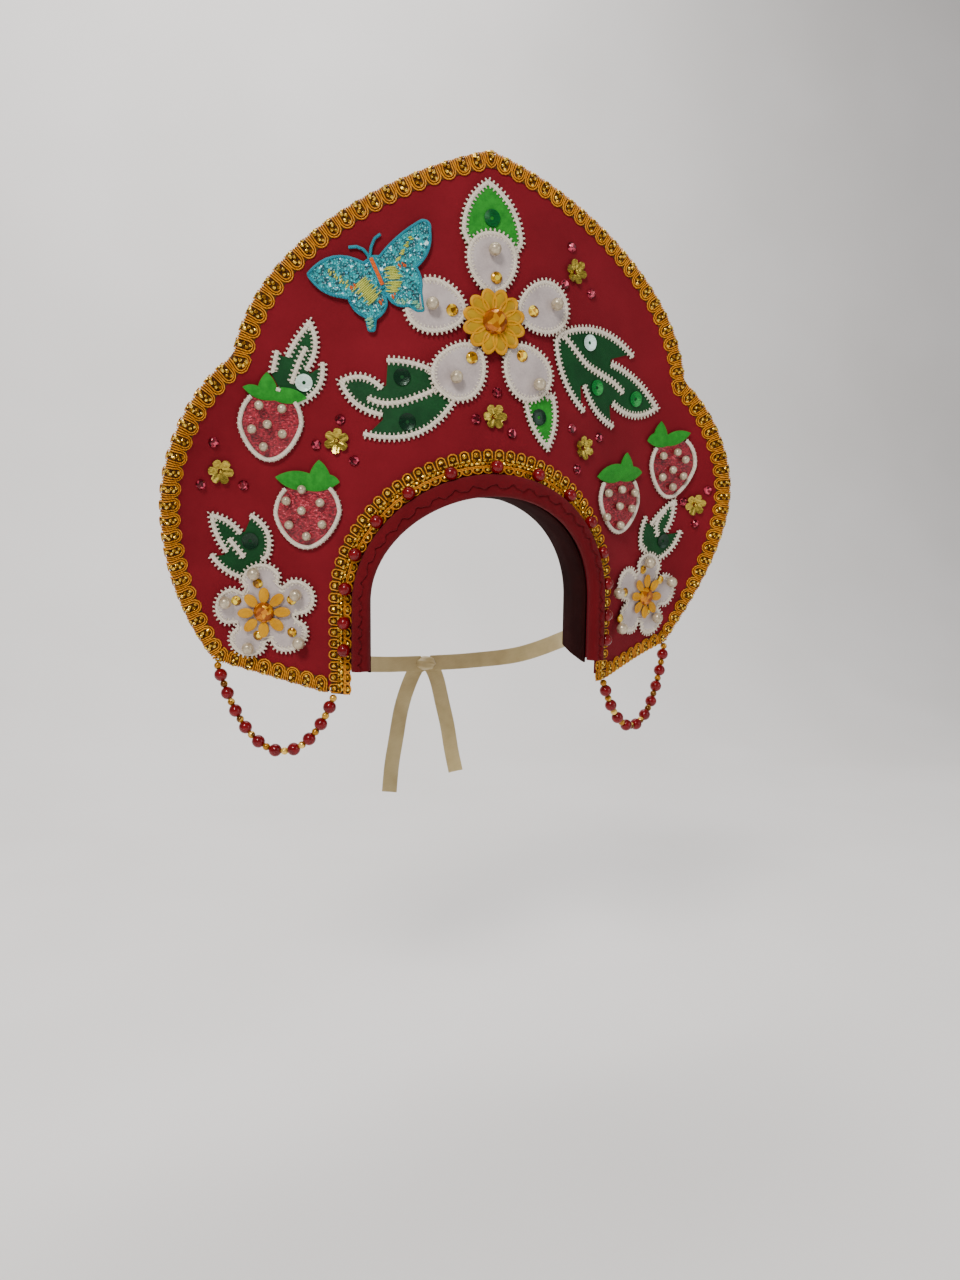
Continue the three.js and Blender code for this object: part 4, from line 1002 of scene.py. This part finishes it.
yellow_plastic = moulded("yellow_plastic", dye(184, 124, 0), dye(208, 148, 0))
olive_film = moulded("olive_petal_film", dye(150, 112, 6), dye(184, 142, 14))
daisy_parts = [knob(0.0075, (0, 0, 0.0004), segments=24, rings=8, squash=(1, 1, 0.16))]
for number in range(DAISY_PETALS):
    to_petal = np.array(Matrix.Rotation(-2 * math.pi * (number + 0.5) / DAISY_PETALS, 3, "Z"))
    rim_ring = ring(1, 0.2, around=22, sides=6)
    shape = flat_places(rim_ring) * (0.0066, 0.0042, 0.0044) + (DAISY_PETAL_OUT, 0, 0)
    move_points(rim_ring, shape @ to_petal + (0, 0, 0.0010))
    leafed = knob(1, segments=14, rings=6, number=1)
    shape = flat_places(leafed) * (0.0062, 0.0039, 0.0007) + (DAISY_PETAL_OUT, 0, 0)
    move_points(leafed, shape @ to_petal + (0, 0, 0.0008))
    daisy_parts += [rim_ring, leafed]
points, faces, numbers = take_shape(*daisy_parts)
seats, normals = crest_face(points[:, :2] + flower, 0.0040)
points = seats + normals * points[:, 2:]
daisy = made_from("yellow_daisy", points, faces, numbers, [yellow_plastic, olive_film])
finish_piece(daisy, None, "yellow_plastic", "daisy", smooth=60)
cut_stone("amber_dome", flower, 0.0080, 0.0050, amber, "amber_stone", 0.0052, "daisy_stone")


# Strawberries. Crumpled pink foil cloth inside a thick white cord, seed pearls for the pips, and a calyx of
# bright green cloth; its light cut edge is not drawn.
BERRY_WIDE, BERRY_HALF_WIDE, BERRY_HALF_HIGH = 0.041, 0.0203, 0.0228
PIP_RADIUS = 0.0028
BERRIES = {
    # centre as shares of the crest, tips of the calyx as shares of the width, places of the pips in mm
    "upper_left": ((-0.682, 0.5), [[-0.41, 0.56], [-0.05, 0.78], [0.54, 0.41]],
                   [[-139.9, 56.8], [-125.8, 54.7], [-134.6, 45.7], [-144.2, 42.9], [-125.4, 39.9],
                    [-136.8, 32.5]]),
    "lower_left": ((-0.569, 0.335), [[-0.46, 0.59], [0.17, 0.83], [0.46, 0.49]],
                   [[-113.6, 6.2], [-122.7, -0.5], [-102.8, -2.2], [-113.6, -6.7], [-120.9, -15.2],
                    [-101.6, -15.6], [-110.6, -22.6]]),
    "upper_right": ((0.774, 0.442), [[-0.59, 0.44], [-0.32, 0.78], [0.29, 0.61]],
                    [[140.3, 33.9], [152.6, 37.0], [160.1, 32.1], [150.2, 24.7], [159.9, 20.7],
                     [141.2, 19.3], [151.6, 12.9]]),
    "lower_right": ((0.53, 0.363), [[-0.55, 0.41], [0.12, 0.85], [0.49, 0.54]],
                    [[89.0, 5.5], [102.1, 8.7], [115.0, 7.1], [100.5, -2.7], [112.8, -3.7],
                     [88.1, -10.6], [102.1, -15.5]]),
}
foil_cloth = Finish("pink_foil_cloth", Coat_Weight=0.35, Coat_Roughness=0.12)
crumple = foil_cloth.noise(560, 4, (1, 1, 1.5))
shade = foil_cloth.noise(70, 2)
# The foil's pink, with painted shade and highlight: deep red where the crumple is low, in its creases, and
# pale pink where it is high, on the crests that the bump raises.
foil_pink_with_painted_shade_and_highlight = foil_cloth.ramp(
    crumple * 0.8 + shade * 0.2,
    (0.36, dye(78, 0, 14)),
    (0.5, dye(134, 8, 30)),
    (0.62, dye(178, 26, 50)),
    (0.74, dye(244, 140, 152)),
)
foil_cloth.set(Base_Color=foil_pink_with_painted_shade_and_highlight)
foil_cloth.set(Metallic=0.35, Roughness=0.3 + crumple * 0.15)
foil_cloth.bump(crumple, 0.0010)
light_green = woven("light_green_cloth", dye(18, 108, 22), dye(44, 152, 42), 0.0004,
                    rough=0.6, sheen=0.05, relief=0.00004, mottle=220)
berry_cord = take_shape(
    straight_cord(LACE_PITCH, 0.0014, 0.0018, 0.0008, sides=8),
    knob(0.0004, (0, 0.0003, 0.0003), segments=6, rings=4, squash=(0.9, 1.1, 0.7)),
)
for name, (share, tips, pips) in BERRIES.items():
    centre = crest_place(*share)
    left, top, right_tip = tips
    neck = [(left[0] + right_tip[0]) / 2, 0.38]
    rows = [[*left, 0.13], [top[0] - 0.13, top[1] - 0.2, 0.13], [*top, 0.08],
            [top[0] + 0.15, top[1] - 0.22, 0.08], [*right_tip, 0.13], [*neck, 0.13]]
    calyx_outline = curved_outline(rows, BERRY_WIDE, centre)[0]
    outline = spot_outline(centre + (0, 0.0015), BERRY_HALF_WIDE, BERRY_HALF_HIGH, 56, 0.2)
    berry = puffed("strawberry_foil_" + name, moved_in(outline, 0.001), 0.0004, 0.001, 0.0012)
    finish_piece(berry, foil_cloth.material, "foil_cloth", "strawberry_" + name)
    calyx = puffed("calyx_cloth_" + name, calyx_outline, 0.0018, 0.0008, 0.001)
    finish_piece(calyx, light_green, "light_green_cloth", "calyx_" + name)
    covers.append(calyx_outline)
    sew_lace("strawberry_cord_" + name, outline, 0.0012, unit=berry_cord)
    covers.append(moved_in(outline, COVERED_INSIDE_LACE))
    for number, pip in enumerate(pips):
        seat = seat_at(metres(pip), 0.0026 + 0.0026)
        ball = pearl(f"seed_pearl_{name}_{number + 1}", PIP_RADIUS, seat, segments=18, rings=12)
        finish_piece(ball, cream_pearl, "satin", smooth=80)


# Small blossoms. Five lobes of the same satin and lace with a pearl and a gold sequin each, under a rosette
# of separate yellow petals round a faceted amber stone.
BLOSSOM_REACH = 0.032
ROSETTE_PETALS, ROSETTE_PETAL_OUT = 8, 0.0112
BLOSSOMS = {
    # centre, turn of the first lobe, pearls and gold sequins in mm
    "left": ((-0.697, 0.152), 97,
             [[-142, -45], [-116.3, -59.2], [-114.4, -89.9], [-144.9, -92.8], [-159.8, -62.6]],
             [[-140, -51.6], [-119.7, -62.5], [-119.4, -83.5], [-139.7, -85.3], [-153.2, -62.4]]),
    "right": ((0.697, 0.165), 83,
              [[134.7, -41.1], [102.2, -62.7], [107.6, -88], [148.6, -81.6], [160, -55]],
              [[132, -46.6], [113.5, -62.5], [109.6, -81.3], [140.2, -77.5], [151, -54.1]]),
}
for name, (share, start, pearls, gold_spots) in BLOSSOMS.items():
    centre = crest_place(*share)
    angle = np.linspace(0, 2 * math.pi, 60, endpoint=False) + math.radians(start)
    lobe = np.sqrt(np.abs(np.cos(2.5 * (angle - math.radians(start)))))
    radius = BLOSSOM_REACH * (0.58 + 0.42 * lobe)
    outline = np.stack([np.cos(angle), np.sin(angle)], 1) * radius[:, None] + centre
    inner = moved_in(outline, SATIN_INSIDE_LACE)
    cloth = puffed("blossom_satin_" + name, inner, 0.0012, SATIN_THICK, SATIN_RISE)
    finish_piece(cloth, satin, "satin", "blossom_" + name)
    sew_lace("blossom_lace_" + name, outline, 0.0017)
    covers.append(moved_in(outline, COVERED_INSIDE_LACE))
    for number, place in enumerate(pearls):
        ball = pearl(f"blossom_pearl_{name}_{number + 1}", PEARL_RADIUS, seat_at(metres(place), 0.0066))
        finish_piece(ball, cream_pearl, "satin", smooth=80)
    for number, place in enumerate(gold_spots):
        stone_name = f"blossom_stone_{name}_{number + 1}"
        cut_stone(stone_name, metres(place), 0.0032, 0.0014, gold_stone, "gold_foil", 0.0028)
    cushions = []
    for number in range(ROSETTE_PETALS):
        petal_turn = -2 * math.pi * (number + 0.5) / ROSETTE_PETALS - math.radians(22.5)
        to_petal = np.array(Matrix.Rotation(petal_turn, 3, "Z"))
        cushion = knob(1, segments=18, rings=12)
        shape = flat_places(cushion)
        groove = 0.6 * np.exp(-((shape[:, 1] / 0.4) ** 2)) * (shape[:, 2] > 0)
        shape[:, 2] += 0.5 * shape[:, 0] ** 2 - groove
        shape = shape * (0.0050, 0.0033, 0.0011) + (ROSETTE_PETAL_OUT, 0, 0)
        move_points(cushion, shape @ to_petal + (0, 0, 0.0016))
        cushions.append(cushion)
    points, faces, numbers = take_shape(*cushions)
    seats, normals = crest_face(points[:, :2] + centre, 0.0028)
    points = seats + normals * points[:, 2:]
    rosette = made_from("yellow_rosette_" + name, points, faces, numbers, [yellow_plastic])
    finish_piece(rosette, None, "yellow_plastic", "rosette_" + name, smooth=60)
    cut_stone("rosette_stone_" + name, centre, 0.0068, 0.0042, amber, "amber_stone", 0.0034)


# Leaves. Cut in lobes from satin in two greens and stitched down with lace along the border and the veins;
# their ends lie under the flowers and berries.
LEAF_LIFT, LEAF_THICK, LEAF_RISE, LEAF_INSIDE_LACE = 0.0003, 0.0006, 0.0003, 0.0008
VEIN_SMOOTHING = 4
dark_green = woven("dark_green_satin", dye(0, 50, 18), dye(8, 72, 30), 0.0004,
                   rough=0.5, sheen=0.02, relief=0.00003, mottle=90)
left_blossom, right_blossom = crest_place(-0.697, 0.152), crest_place(0.697, 0.165)
LEAVES = {
    # cloth, centre, size, corners as shares of the size, and places of the vein in mm; a corner is x, z and
    # the bow of the side leading there, with bare where that side has no lace
    "leaf_top": (light_green, flower, FLOWER_REACH,
                 [[-0.04, 1.55, 0.14], [0.39, 0.89, 0.14], [0, 0.55, 0.1], [-0.36, 0.96, 0.1]], []),
    "leaf_low": (light_green, flower, FLOWER_REACH,
                 [[0.36, -0.75, 0.12], [0.79, -0.71, 0], [0.7, -1.39, 0.12]], []),
    "leaf_left": (dark_green, flower, FLOWER_REACH,
                  [[-1.68, -0.63, 0.15], [-1.18, -0.7, 0.2], [-1.16, -0.39, 0, "bare"], [-0.7, -0.48, 0.05],
                   [-0.38, -0.82, 0], [-1.41, -1.25, 0.2], [-1.21, -1.05, 0, "bare"]],
                  [[-77, 61.2], [-67.4, 57.1], [-55.7, 58.1], [-41.8, 63.1], [-29.6, 69.2]]),
    "leaf_right": (dark_green, flower, FLOWER_REACH,
                   [[0.86, 0, 0], [1.98, -0.14, 0.15], [1.62, -0.25, 0, "bare"], [2.43, -0.75, 0.09],
                    [1.64, -0.77, 0.17], [1.68, -1.05, 0, "bare"], [1.18, -0.59, 0.12],
                    [1.2, -0.91, 0, "bare"], [0.77, -0.11, 0.12]],
                   [[50.2, 105.3], [61.6, 95.1], [70.1, 87.6], [81.7, 83.5], [93.7, 79.3], [103.7, 72.7]]),
    "small_leaf_upper_left": (dark_green, crest_place(-0.682, 0.5), BERRY_WIDE,
                              [[0.58, 1.56, 0.05], [0.56, 0.78, 0.17], [0.8, 0.93, 0, "bare"],
                               [0.41, 0.29, 0.2], [0.12, 0.54, 0], [-0.02, 0.78, 0], [0.05, 1.1, 0],
                               [0.2, 1.02, 0, "bare"]],
                              [[-110.8, 91.8], [-114.7, 85], [-117.6, 77.2], [-120.5, 68.4]]),
    "small_leaf_left": (dark_green, left_blossom, BLOSSOM_REACH,
                        [[-1.09, 1.97, 0.08], [-0.41, 1.59, 0.12], [-0.25, 1.97, 0, "bare"],
                         [0.09, 1.06, 0.2], [-0.44, 0.63, 0], [-1.09, 1.13, 0.1],
                         [-0.78, 1.16, 0, "bare"]],
                        [[-158.6, -22], [-153.9, -28.2], [-147.6, -36]]),
    "small_leaf_right": (dark_green, right_blossom, BLOSSOM_REACH,
                         [[0.69, 2.22, 0.05], [0.56, 1.41, 0.12], [1, 1.47, 0, "bare"], [0.31, 0.75, 0.15],
                          [-0.25, 1.06, 0], [-0.16, 1.81, 0.12], [0, 1.63, 0, "bare"]],
                         [[151.4, -3.5], [144, -10.9], [142.9, -18.6], [146.7, -23]]),
}
for name, (green, centre, size, rows, vein) in LEAVES.items():
    outline, runs = curved_outline(rows, size, centre)
    leaf = puffed(name + "_satin", moved_in(outline, LEAF_INSIDE_LACE), LEAF_LIFT, LEAF_THICK, LEAF_RISE)
    finish_piece(leaf, green, "dark_green_cloth" if green is dark_green else "light_green_cloth", name)
    if all(len(row) < 4 for row in rows):
        sew_lace(name + "_lace", outline, 0.0008)
    else:
        for number, line in enumerate(runs):
            sew_lace(f"{name}_lace_{number + 1}", line[::-1], 0.0008, closed=False)
    if vein:
        line = evenly(metres(vein), 0.001)
        reach = 2 * VEIN_SMOOTHING + 1
        line = np.stack([
            np.convolve(np.pad(line[:, axis], VEIN_SMOOTHING, mode="edge"), np.ones(reach) / reach, "valid")
            for axis in (0, 1)
        ], 1)
        sew_lace(name + "_vein", moved_in(line, -0.0024, closed=False), 0.0009, closed=False)


# Cup sequins on the leaves: a shallow dish of green film with a dimple and a thread hole in the middle.
CUP_RADIUS, CUP_DEEP, FILM_THICK = 0.0052, 0.0007, 0.00025
CUPS = {
    # the film's two colours, and places in mm
    "bottle_green": (dye(0, 24, 12), dye(2, 56, 26),
                     [[32, 51], [-56, 73], [-53, 46], [-145, -25], [151, -26]]),
    "leaf_green": (dye(0, 72, 26), dye(4, 104, 42), [[0, 170]]),
    "bright_green": (dye(0, 92, 28), dye(6, 150, 52), [[79, 74], [114, 70]]),
    # The cup at [-113, 70] is silver; the one at [72, 102] is a green sequin whose near-white film is a
    # painted glint.
    "silver_green": (dye(180, 220, 200), dye(245, 255, 250), [[-113, 70], [72, 102]]),
}


def cup(name, place, radius, deep, material, slot, petals, lift, *nodes):
    """A pressed disc of film; with petals it is a pleated flower."""
    bpy.ops.object.select_all(action="DESELECT")
    bpy.ops.mesh.primitive_circle_add(vertices=36, radius=radius, fill_type="NGON")
    disc = bpy.context.object
    disc.name = name
    bpy.ops.object.mode_set(mode="EDIT")
    for share in (0.82, 0.78, 0.7, 0.5):
        bpy.ops.mesh.inset(thickness=0)
        bpy.ops.transform.resize(value=(share, share, 1))
    bpy.ops.mesh.delete(type="FACE")
    bpy.ops.object.mode_set(mode="OBJECT")
    points = flat_places(disc)
    reach = np.hypot(points[:, 0], points[:, 1]) / radius
    angle = np.arctan2(points[:, 1], points[:, 0])
    points[:, 2] = deep * reach**2
    if petals:
        spread = 0.66 + 0.34 * np.abs(np.cos(petals / 2 * angle)) ** 0.5
        points[:, :2] *= (1 + (spread - 1) * reach**1.5)[:, None]
        points[:, 2] += deep * reach * (0.35 * np.cos(petals * angle) + 0.1 * np.cos(petals * 3 * angle))
    move_points(disc, points)
    set_on_crest(disc, place, lift)
    thicken(disc, FILM_THICK)
    return finish_piece(disc, material, slot, *nodes, smooth=50)


def film(name, deep, bright, metal=0.6):
    """Coloured metallized film, with fine scratches."""
    sheet = Finish(name, Coat_Weight=0.15, Coat_Roughness=0.08, Specular_IOR_Level=0.3)
    scratch = sheet.noise(500, 4, (1, 1, 6))
    sheet.set(Base_Color=sheet.ramp(scratch, (0.35, deep), (0.7, bright)), Metallic=metal)
    sheet.set(Roughness=0.14 + scratch * 0.14)
    sheet.bump(scratch, 0.00008)
    return sheet.material


for tone, (deep, bright, places) in CUPS.items():
    green_film = film("film_" + tone, deep, bright, 0.3)
    for number, place in enumerate(places):
        cup(f"cup_{tone}_{number + 1}", metres(place), CUP_RADIUS, CUP_DEEP, green_film,
            "dark_green_cloth", 0, 0.0014)


# Flower sequins and pink stones. Six-petalled gold sequins are pressed with pleats and held by a small bead;
# three pink rhinestones stand round each.
SEQUIN_RADIUS, SEQUIN_DEEP, SEQUIN_PETALS = 0.0078, 0.0014, 6
gold_film = film("gold_pressed_film", dye(112, 92, 14), dye(228, 200, 84), 0.9)
FLOWER_SEQUINS = [
    # places as shares of the crest
    (0.308, 0.808), (0.005, 0.518), (0.354, 0.47), (-0.482, 0.473), (-0.836, 0.418), (0.895, 0.366),
]
for number, share in enumerate(FLOWER_SEQUINS):
    place = crest_place(*share)
    cup(f"gold_sequin_{number + 1}", place, SEQUIN_RADIUS, SEQUIN_DEEP, gold_film,
        "gold_foil", SEQUIN_PETALS, 0.0008, f"flower_sequin_{number + 1}")
    ball = pearl(f"sequin_bead_{number + 1}", 0.0014, seat_at(place, 0.0024), segments=14, rings=8)
    finish_piece(ball, gold_film, "gold_foil", smooth=80)
pink = foiled_stone("pink_foiled_stone", dye(66, 0, 12), dye(116, 4, 26), dye(228, 84, 112), 620)
PINK_STONES = [
    # places in mm, three round each sequin
    (57, 160), (52, 136), (73, 133), (3, 65), (-11, 48), (13, 40), (59, 46), (83, 42), (64, 20),
    (-92, 48), (-106, 33), (-84, 23), (-167, 34), (-175, 9), (-149, 9), (182, 10), (165, 2), (177, -14),
]
for number, place in enumerate(PINK_STONES):
    cut_stone(f"pink_stone_{number + 1:02d}", metres(place), 0.0032, 0.0020, pink, "red_pearl", 0.0002)


# Bead swags. Red pearls and small gold beads alternate on one thread; each string hangs from the two lower
# corners of a lobe.
RED_STEP, GOLD_STEP, GOLD_RADIUS = 0.00391, 0.00241, 0.0025
REDS = 10
INNER_END_X, INNER_END_LOW, OUTER_END_LOW = 0.096, 0.0046, 0.0032
SWAG_THREAD_STITCH, SWAG_THREAD_RADIUS = 0.002, 0.0004
gold_lacquer = foiled_stone("gold_bead_metal", dye(104, 62, 4), dye(180, 122, 16), dye(246, 206, 96), 160)
swag_length = 2 * (REDS * RED_STEP + (REDS + 1) * GOLD_STEP)


def hanging_curve(start, end, length):
    """The curve of a slack string between two points, as points at equal distances along it."""
    count = 400
    level = np.array([end[0] - start[0], end[1] - start[1]])
    span = np.linalg.norm(level)
    rise = end[2] - start[2]
    target = math.sqrt(length**2 - rise**2)
    tight, slack = span / 50, span * 50
    for _ in range(60):
        trial = (tight + slack) / 2
        if 2 * trial * math.sinh(span / (2 * trial)) > target:
            tight = trial
        else:
            slack = trial
    lowest = span / 2 - trial * math.atanh(rise / length)
    across = np.linspace(0, span, count)
    height = trial * (np.cosh((across - lowest) / trial) - math.cosh(lowest / trial))
    x = start[0] + level[0] * across / span
    y = start[1] + level[1] * across / span
    return evenly(np.stack([x, y, start[2] + height], 1), length / count)


outer_corner = crest_place(0.851, 0.061)
for name, side in (("left", -1), ("right", 1)):
    outer = np.array([side * outer_corner[0], 0, outer_corner[1] - OUTER_END_LOW])
    inner = np.array([side * INNER_END_X, 0, FOOT - INNER_END_LOW])
    for end in (outer, inner):
        end[1] = crest_y(end[0], end[2]) - 0.001
    curve = hanging_curve(outer, inner, swag_length)
    run = running_length(curve)
    points, faces, numbers = [], [], []
    along, start = GOLD_STEP, 0
    for bead_number in range(2 * REDS + 1):
        gold = bead_number % 2 == 0
        radius = GOLD_RADIUS if gold else RED_RADIUS
        at = np.array([np.interp(along, run, curve[:, axis]) for axis in range(3)])
        ahead = np.array([np.interp(along + 0.001, run, curve[:, axis]) for axis in range(3)]) - at
        shape = pearl("bead", radius, (0, 0, 0), segments=20, rings=12)
        turn = Matrix.Rotation(math.radians(THREAD_LEAN), 4, "Y").to_3x3()
        turn = Vector((0, 0, 1)).rotation_difference(Vector(ahead)).to_matrix() @ turn.transposed()
        shape.pass_index = int(gold)
        bead_points, bead_faces, bead_numbers = take_shape(shape)
        points.append(bead_points @ np.array(turn).T + at)
        faces += [[start + corner for corner in face] for face in bead_faces]
        numbers += bead_numbers
        start += len(bead_points)
        along += GOLD_STEP + RED_STEP
    swag = made_from("bead_string_" + name, np.vstack(points), faces, numbers, [red_lacquer, gold_lacquer])
    finish_piece(swag, None, "red_pearl", "bead_swag_" + name, smooth=80)
    thread_points = curve[::4]
    up = np.tile([0.0, -1.0, 0.0], (len(thread_points), 1))
    unit = take_shape(straight_cord(SWAG_THREAD_STITCH, SWAG_THREAD_RADIUS))
    route = route_along(thread_points, up)
    thread = sew_row("swag_thread_" + name, unit, route, SWAG_THREAD_STITCH, [dark_ground])
    finish_piece(thread, None, "red_pearl", smooth=70)


# Ribbon ties. Khaki-gold satin ribbon sewn outside the headband's feet goes round the nape, is knotted
# there, and hangs in two tails.
RIBBON_WIDE, RIBBON_THICK, KNOT, TAIL_LONG = 0.012, 0.001, 0.008, 0.1
RIBBON_SECTION = [
    # round the ribbon's section: shares of half its width and of half its thickness
    (-1, 0), (-0.97, 0.8), (-0.5, 1), (0, 1), (0.5, 1), (0.97, 0.8),
    (1, 0), (0.97, -0.8), (0.5, -1), (0, -1), (-0.5, -1), (-0.97, -0.8),
]
ribbon_satin = Finish("khaki_gold_ribbon", Sheen_Weight=0.3)
rib = ((ribbon_satin.z + ribbon_satin.x * 0.3) * 5200).maths("SINE") * 0.5 + 0.5
tone = ribbon_satin.noise(80, 3)
khaki = ribbon_satin.ramp(tone + rib * 0.08, (0.25, dye(168, 147, 96)), (0.8, dye(194, 174, 122)))
ribbon_satin.set(Base_Color=khaki)
ribbon_satin.set(Roughness=0.34 + tone * 0.15)
ribbon_satin.bump(rib + tone, 0.00008)


def smooth_run(points, count):
    """A smooth line through a few points."""
    points = np.asarray(points, float)
    key = np.concatenate([[0], np.cumsum(np.linalg.norm(np.diff(points, axis=0), axis=1) ** 0.5)])
    slope = np.gradient(points, key, axis=0)
    line = []
    for t in np.linspace(0, key[-1], count):
        k = min(np.searchsorted(key, t, side="right") - 1, len(key) - 2)
        gap = key[k + 1] - key[k]
        s = (t - key[k]) / gap
        a, b, c = 2 * s**3 - 3 * s**2 + 1, s**3 - 2 * s**2 + s, s**3 - s**2
        line.append(a * points[k] + b * gap * slope[k] + (1 - a) * points[k + 1] + c * gap * slope[k + 1])
    return np.array(line)


def ribbon(name, line, wide, flutter):
    """A flat ribbon with softly rounded borders along a line; wide is the direction of its width."""
    ahead = np.gradient(line, axis=0)
    ahead /= np.linalg.norm(ahead, axis=1)[:, None]
    face = np.cross(ahead, wide)
    face /= np.linalg.norm(face, axis=1)[:, None]
    up = np.cross(face, ahead)
    thick = RIBBON_THICK * 0.7
    rings = []
    for number, (point, to_face, to_up) in enumerate(zip(line, face, up)):
        wave = flutter * math.sin(number * 0.35)
        loop = []
        for w, t in RIBBON_SECTION:
            curl = wave * w * w
            loop.append(point + to_up * w * RIBBON_WIDE / 2 + to_face * (t * thick / 2 + curl))
        rings.append(loop)
    return skin(name, rings)


TIE_X, TIE_Z = 0.0803, -0.094
tie_y = crest_y(HEAD_WIDE, TIE_Z) + BAND_DEEP * 0.62
NAPE_BACK, NAPE_DROP = 0.128, 0.118
for name, side in (("left", -1), ("right", 1)):
    line = smooth_run([
        (side * TIE_X, tie_y, TIE_Z),
        (side * (TIE_X + 0.0045), tie_y + BAND_DEEP * 0.4, TIE_Z - 0.002),
        (side * TIE_X * 0.82, NAPE_BACK * 0.78, 0.006 - NAPE_DROP),
        (side * TIE_X * 0.42, NAPE_BACK * 0.96, 0.001 - NAPE_DROP),
        (side * 0.004, NAPE_BACK, -NAPE_DROP),
    ], 60)
    tie = ribbon("ribbon_" + name, line, (0, 0, 1), 0.0003)
    finish_piece(tie, ribbon_satin.material, "ribbon", "tie_" + name, smooth=50)
for name, lean, share in (("left", -0.3, 1.0), ("right", 0.26, 0.88)):
    drop = TAIL_LONG * share
    t = np.linspace(0, 1, 40)
    x = lean * drop * np.sqrt(t) + math.copysign(RIBBON_THICK, lean)
    y = NAPE_BACK + KNOT * 0.3 + np.sin(math.pi * t) * RIBBON_WIDE * 0.25
    line = np.stack([x, y, -NAPE_DROP - drop * t], 1)
    tail = ribbon("ribbon_tail_" + name, line, (1, 0, 0), 0.0008)
    finish_piece(tail, ribbon_satin.material, "ribbon", smooth=50)
knot = knob(1, segments=28, rings=18, squash=(KNOT, RIBBON_WIDE * 0.42, RIBBON_WIDE * 0.46))
knot.name = "ribbon_knot"
points = flat_places(knot)
fold = np.sin(points[:, 2] * 1600 + points[:, 0] * 300)
points *= (1 + 0.05 * fold)[:, None]
move_points(knot, points + (0, NAPE_BACK, -NAPE_DROP))
finish_piece(knot, ribbon_satin.material, "ribbon", "tie_knot", smooth=60)


# Studio. A pale floor that rises into a pale backdrop, a large soft light from the front left, a fill from
# the right and one from above.
bpy.ops.object.select_all(action="DESELECT")
bpy.ops.mesh.primitive_plane_add(size=6, location=(0, -1.2, -0.42))
floor = bpy.context.object
floor.name = "floor"
bpy.ops.object.transform_apply(location=True, rotation=False, scale=False)
bpy.ops.object.mode_set(mode="EDIT")
bpy.ops.mesh.select_mode(type="EDGE")
bpy.ops.mesh.select_all(action="DESELECT")
bpy.ops.object.mode_set(mode="OBJECT")
for line in floor.data.edges:
    line.select = all(floor.data.vertices[corner].co.y > 1.7 for corner in line.vertices)
bpy.ops.object.mode_set(mode="EDIT")
bpy.ops.mesh.extrude_region_move(TRANSFORM_OT_translate={"value": (0, 0, 4)})
bpy.ops.object.mode_set(mode="OBJECT")
bend = floor.modifiers.new("bend", "BEVEL")
bend.width = 0.9
bend.segments = 16
bpy.ops.object.modifier_apply(modifier="bend")
bpy.ops.object.shade_smooth()
paper = Finish("backdrop_paper")
grain = paper.noise(3, 2)
paper.set(Base_Color=paper.ramp(grain, (0.3, dye(232, 229, 226)), (0.7, dye(238, 235, 233))), Roughness=0.9)
floor.data.materials.append(paper.material)
LIGHTS = {
    # place, size, power, colour, and the point that it shines at
    "key": ((-0.9, -1.3, 1.2), 0.5, 32, (1.0, 0.97, 0.94), (0, 0, 0.05)),
    "fill": ((1.3, -1.2, 0.3), 1.0, 6, (0.94, 0.97, 1.0), (0, 0, 0.05)),
    "top": ((0.1, 0.2, 1.5), 1.0, 8, (1.0, 1.0, 1.0), (0, 0, 0.05)),
    "backdrop": ((0.0, 0.6, 1.9), 1.6, 40, (1.0, 0.99, 0.98), (-0.2, 1.9, 0.1)),
}
for name, (place, size, power, colour, aim) in LIGHTS.items():
    bpy.ops.object.light_add(type="AREA", location=place)
    lamp = bpy.context.object
    lamp.name = name
    lamp.data.size = size
    lamp.data.energy = power
    lamp.data.color = colour
    lamp.rotation_euler = (Vector(aim) - lamp.location).to_track_quat("-Z", "Y").to_euler()
world = bpy.data.worlds.new("studio")
world.use_nodes = True
room_light = world.node_tree.nodes["Background"]
room_light.inputs["Color"].default_value = (0.8, 0.8, 0.82, 1)
room_light.inputs["Strength"].default_value = 0.42
bpy.context.scene.world = world
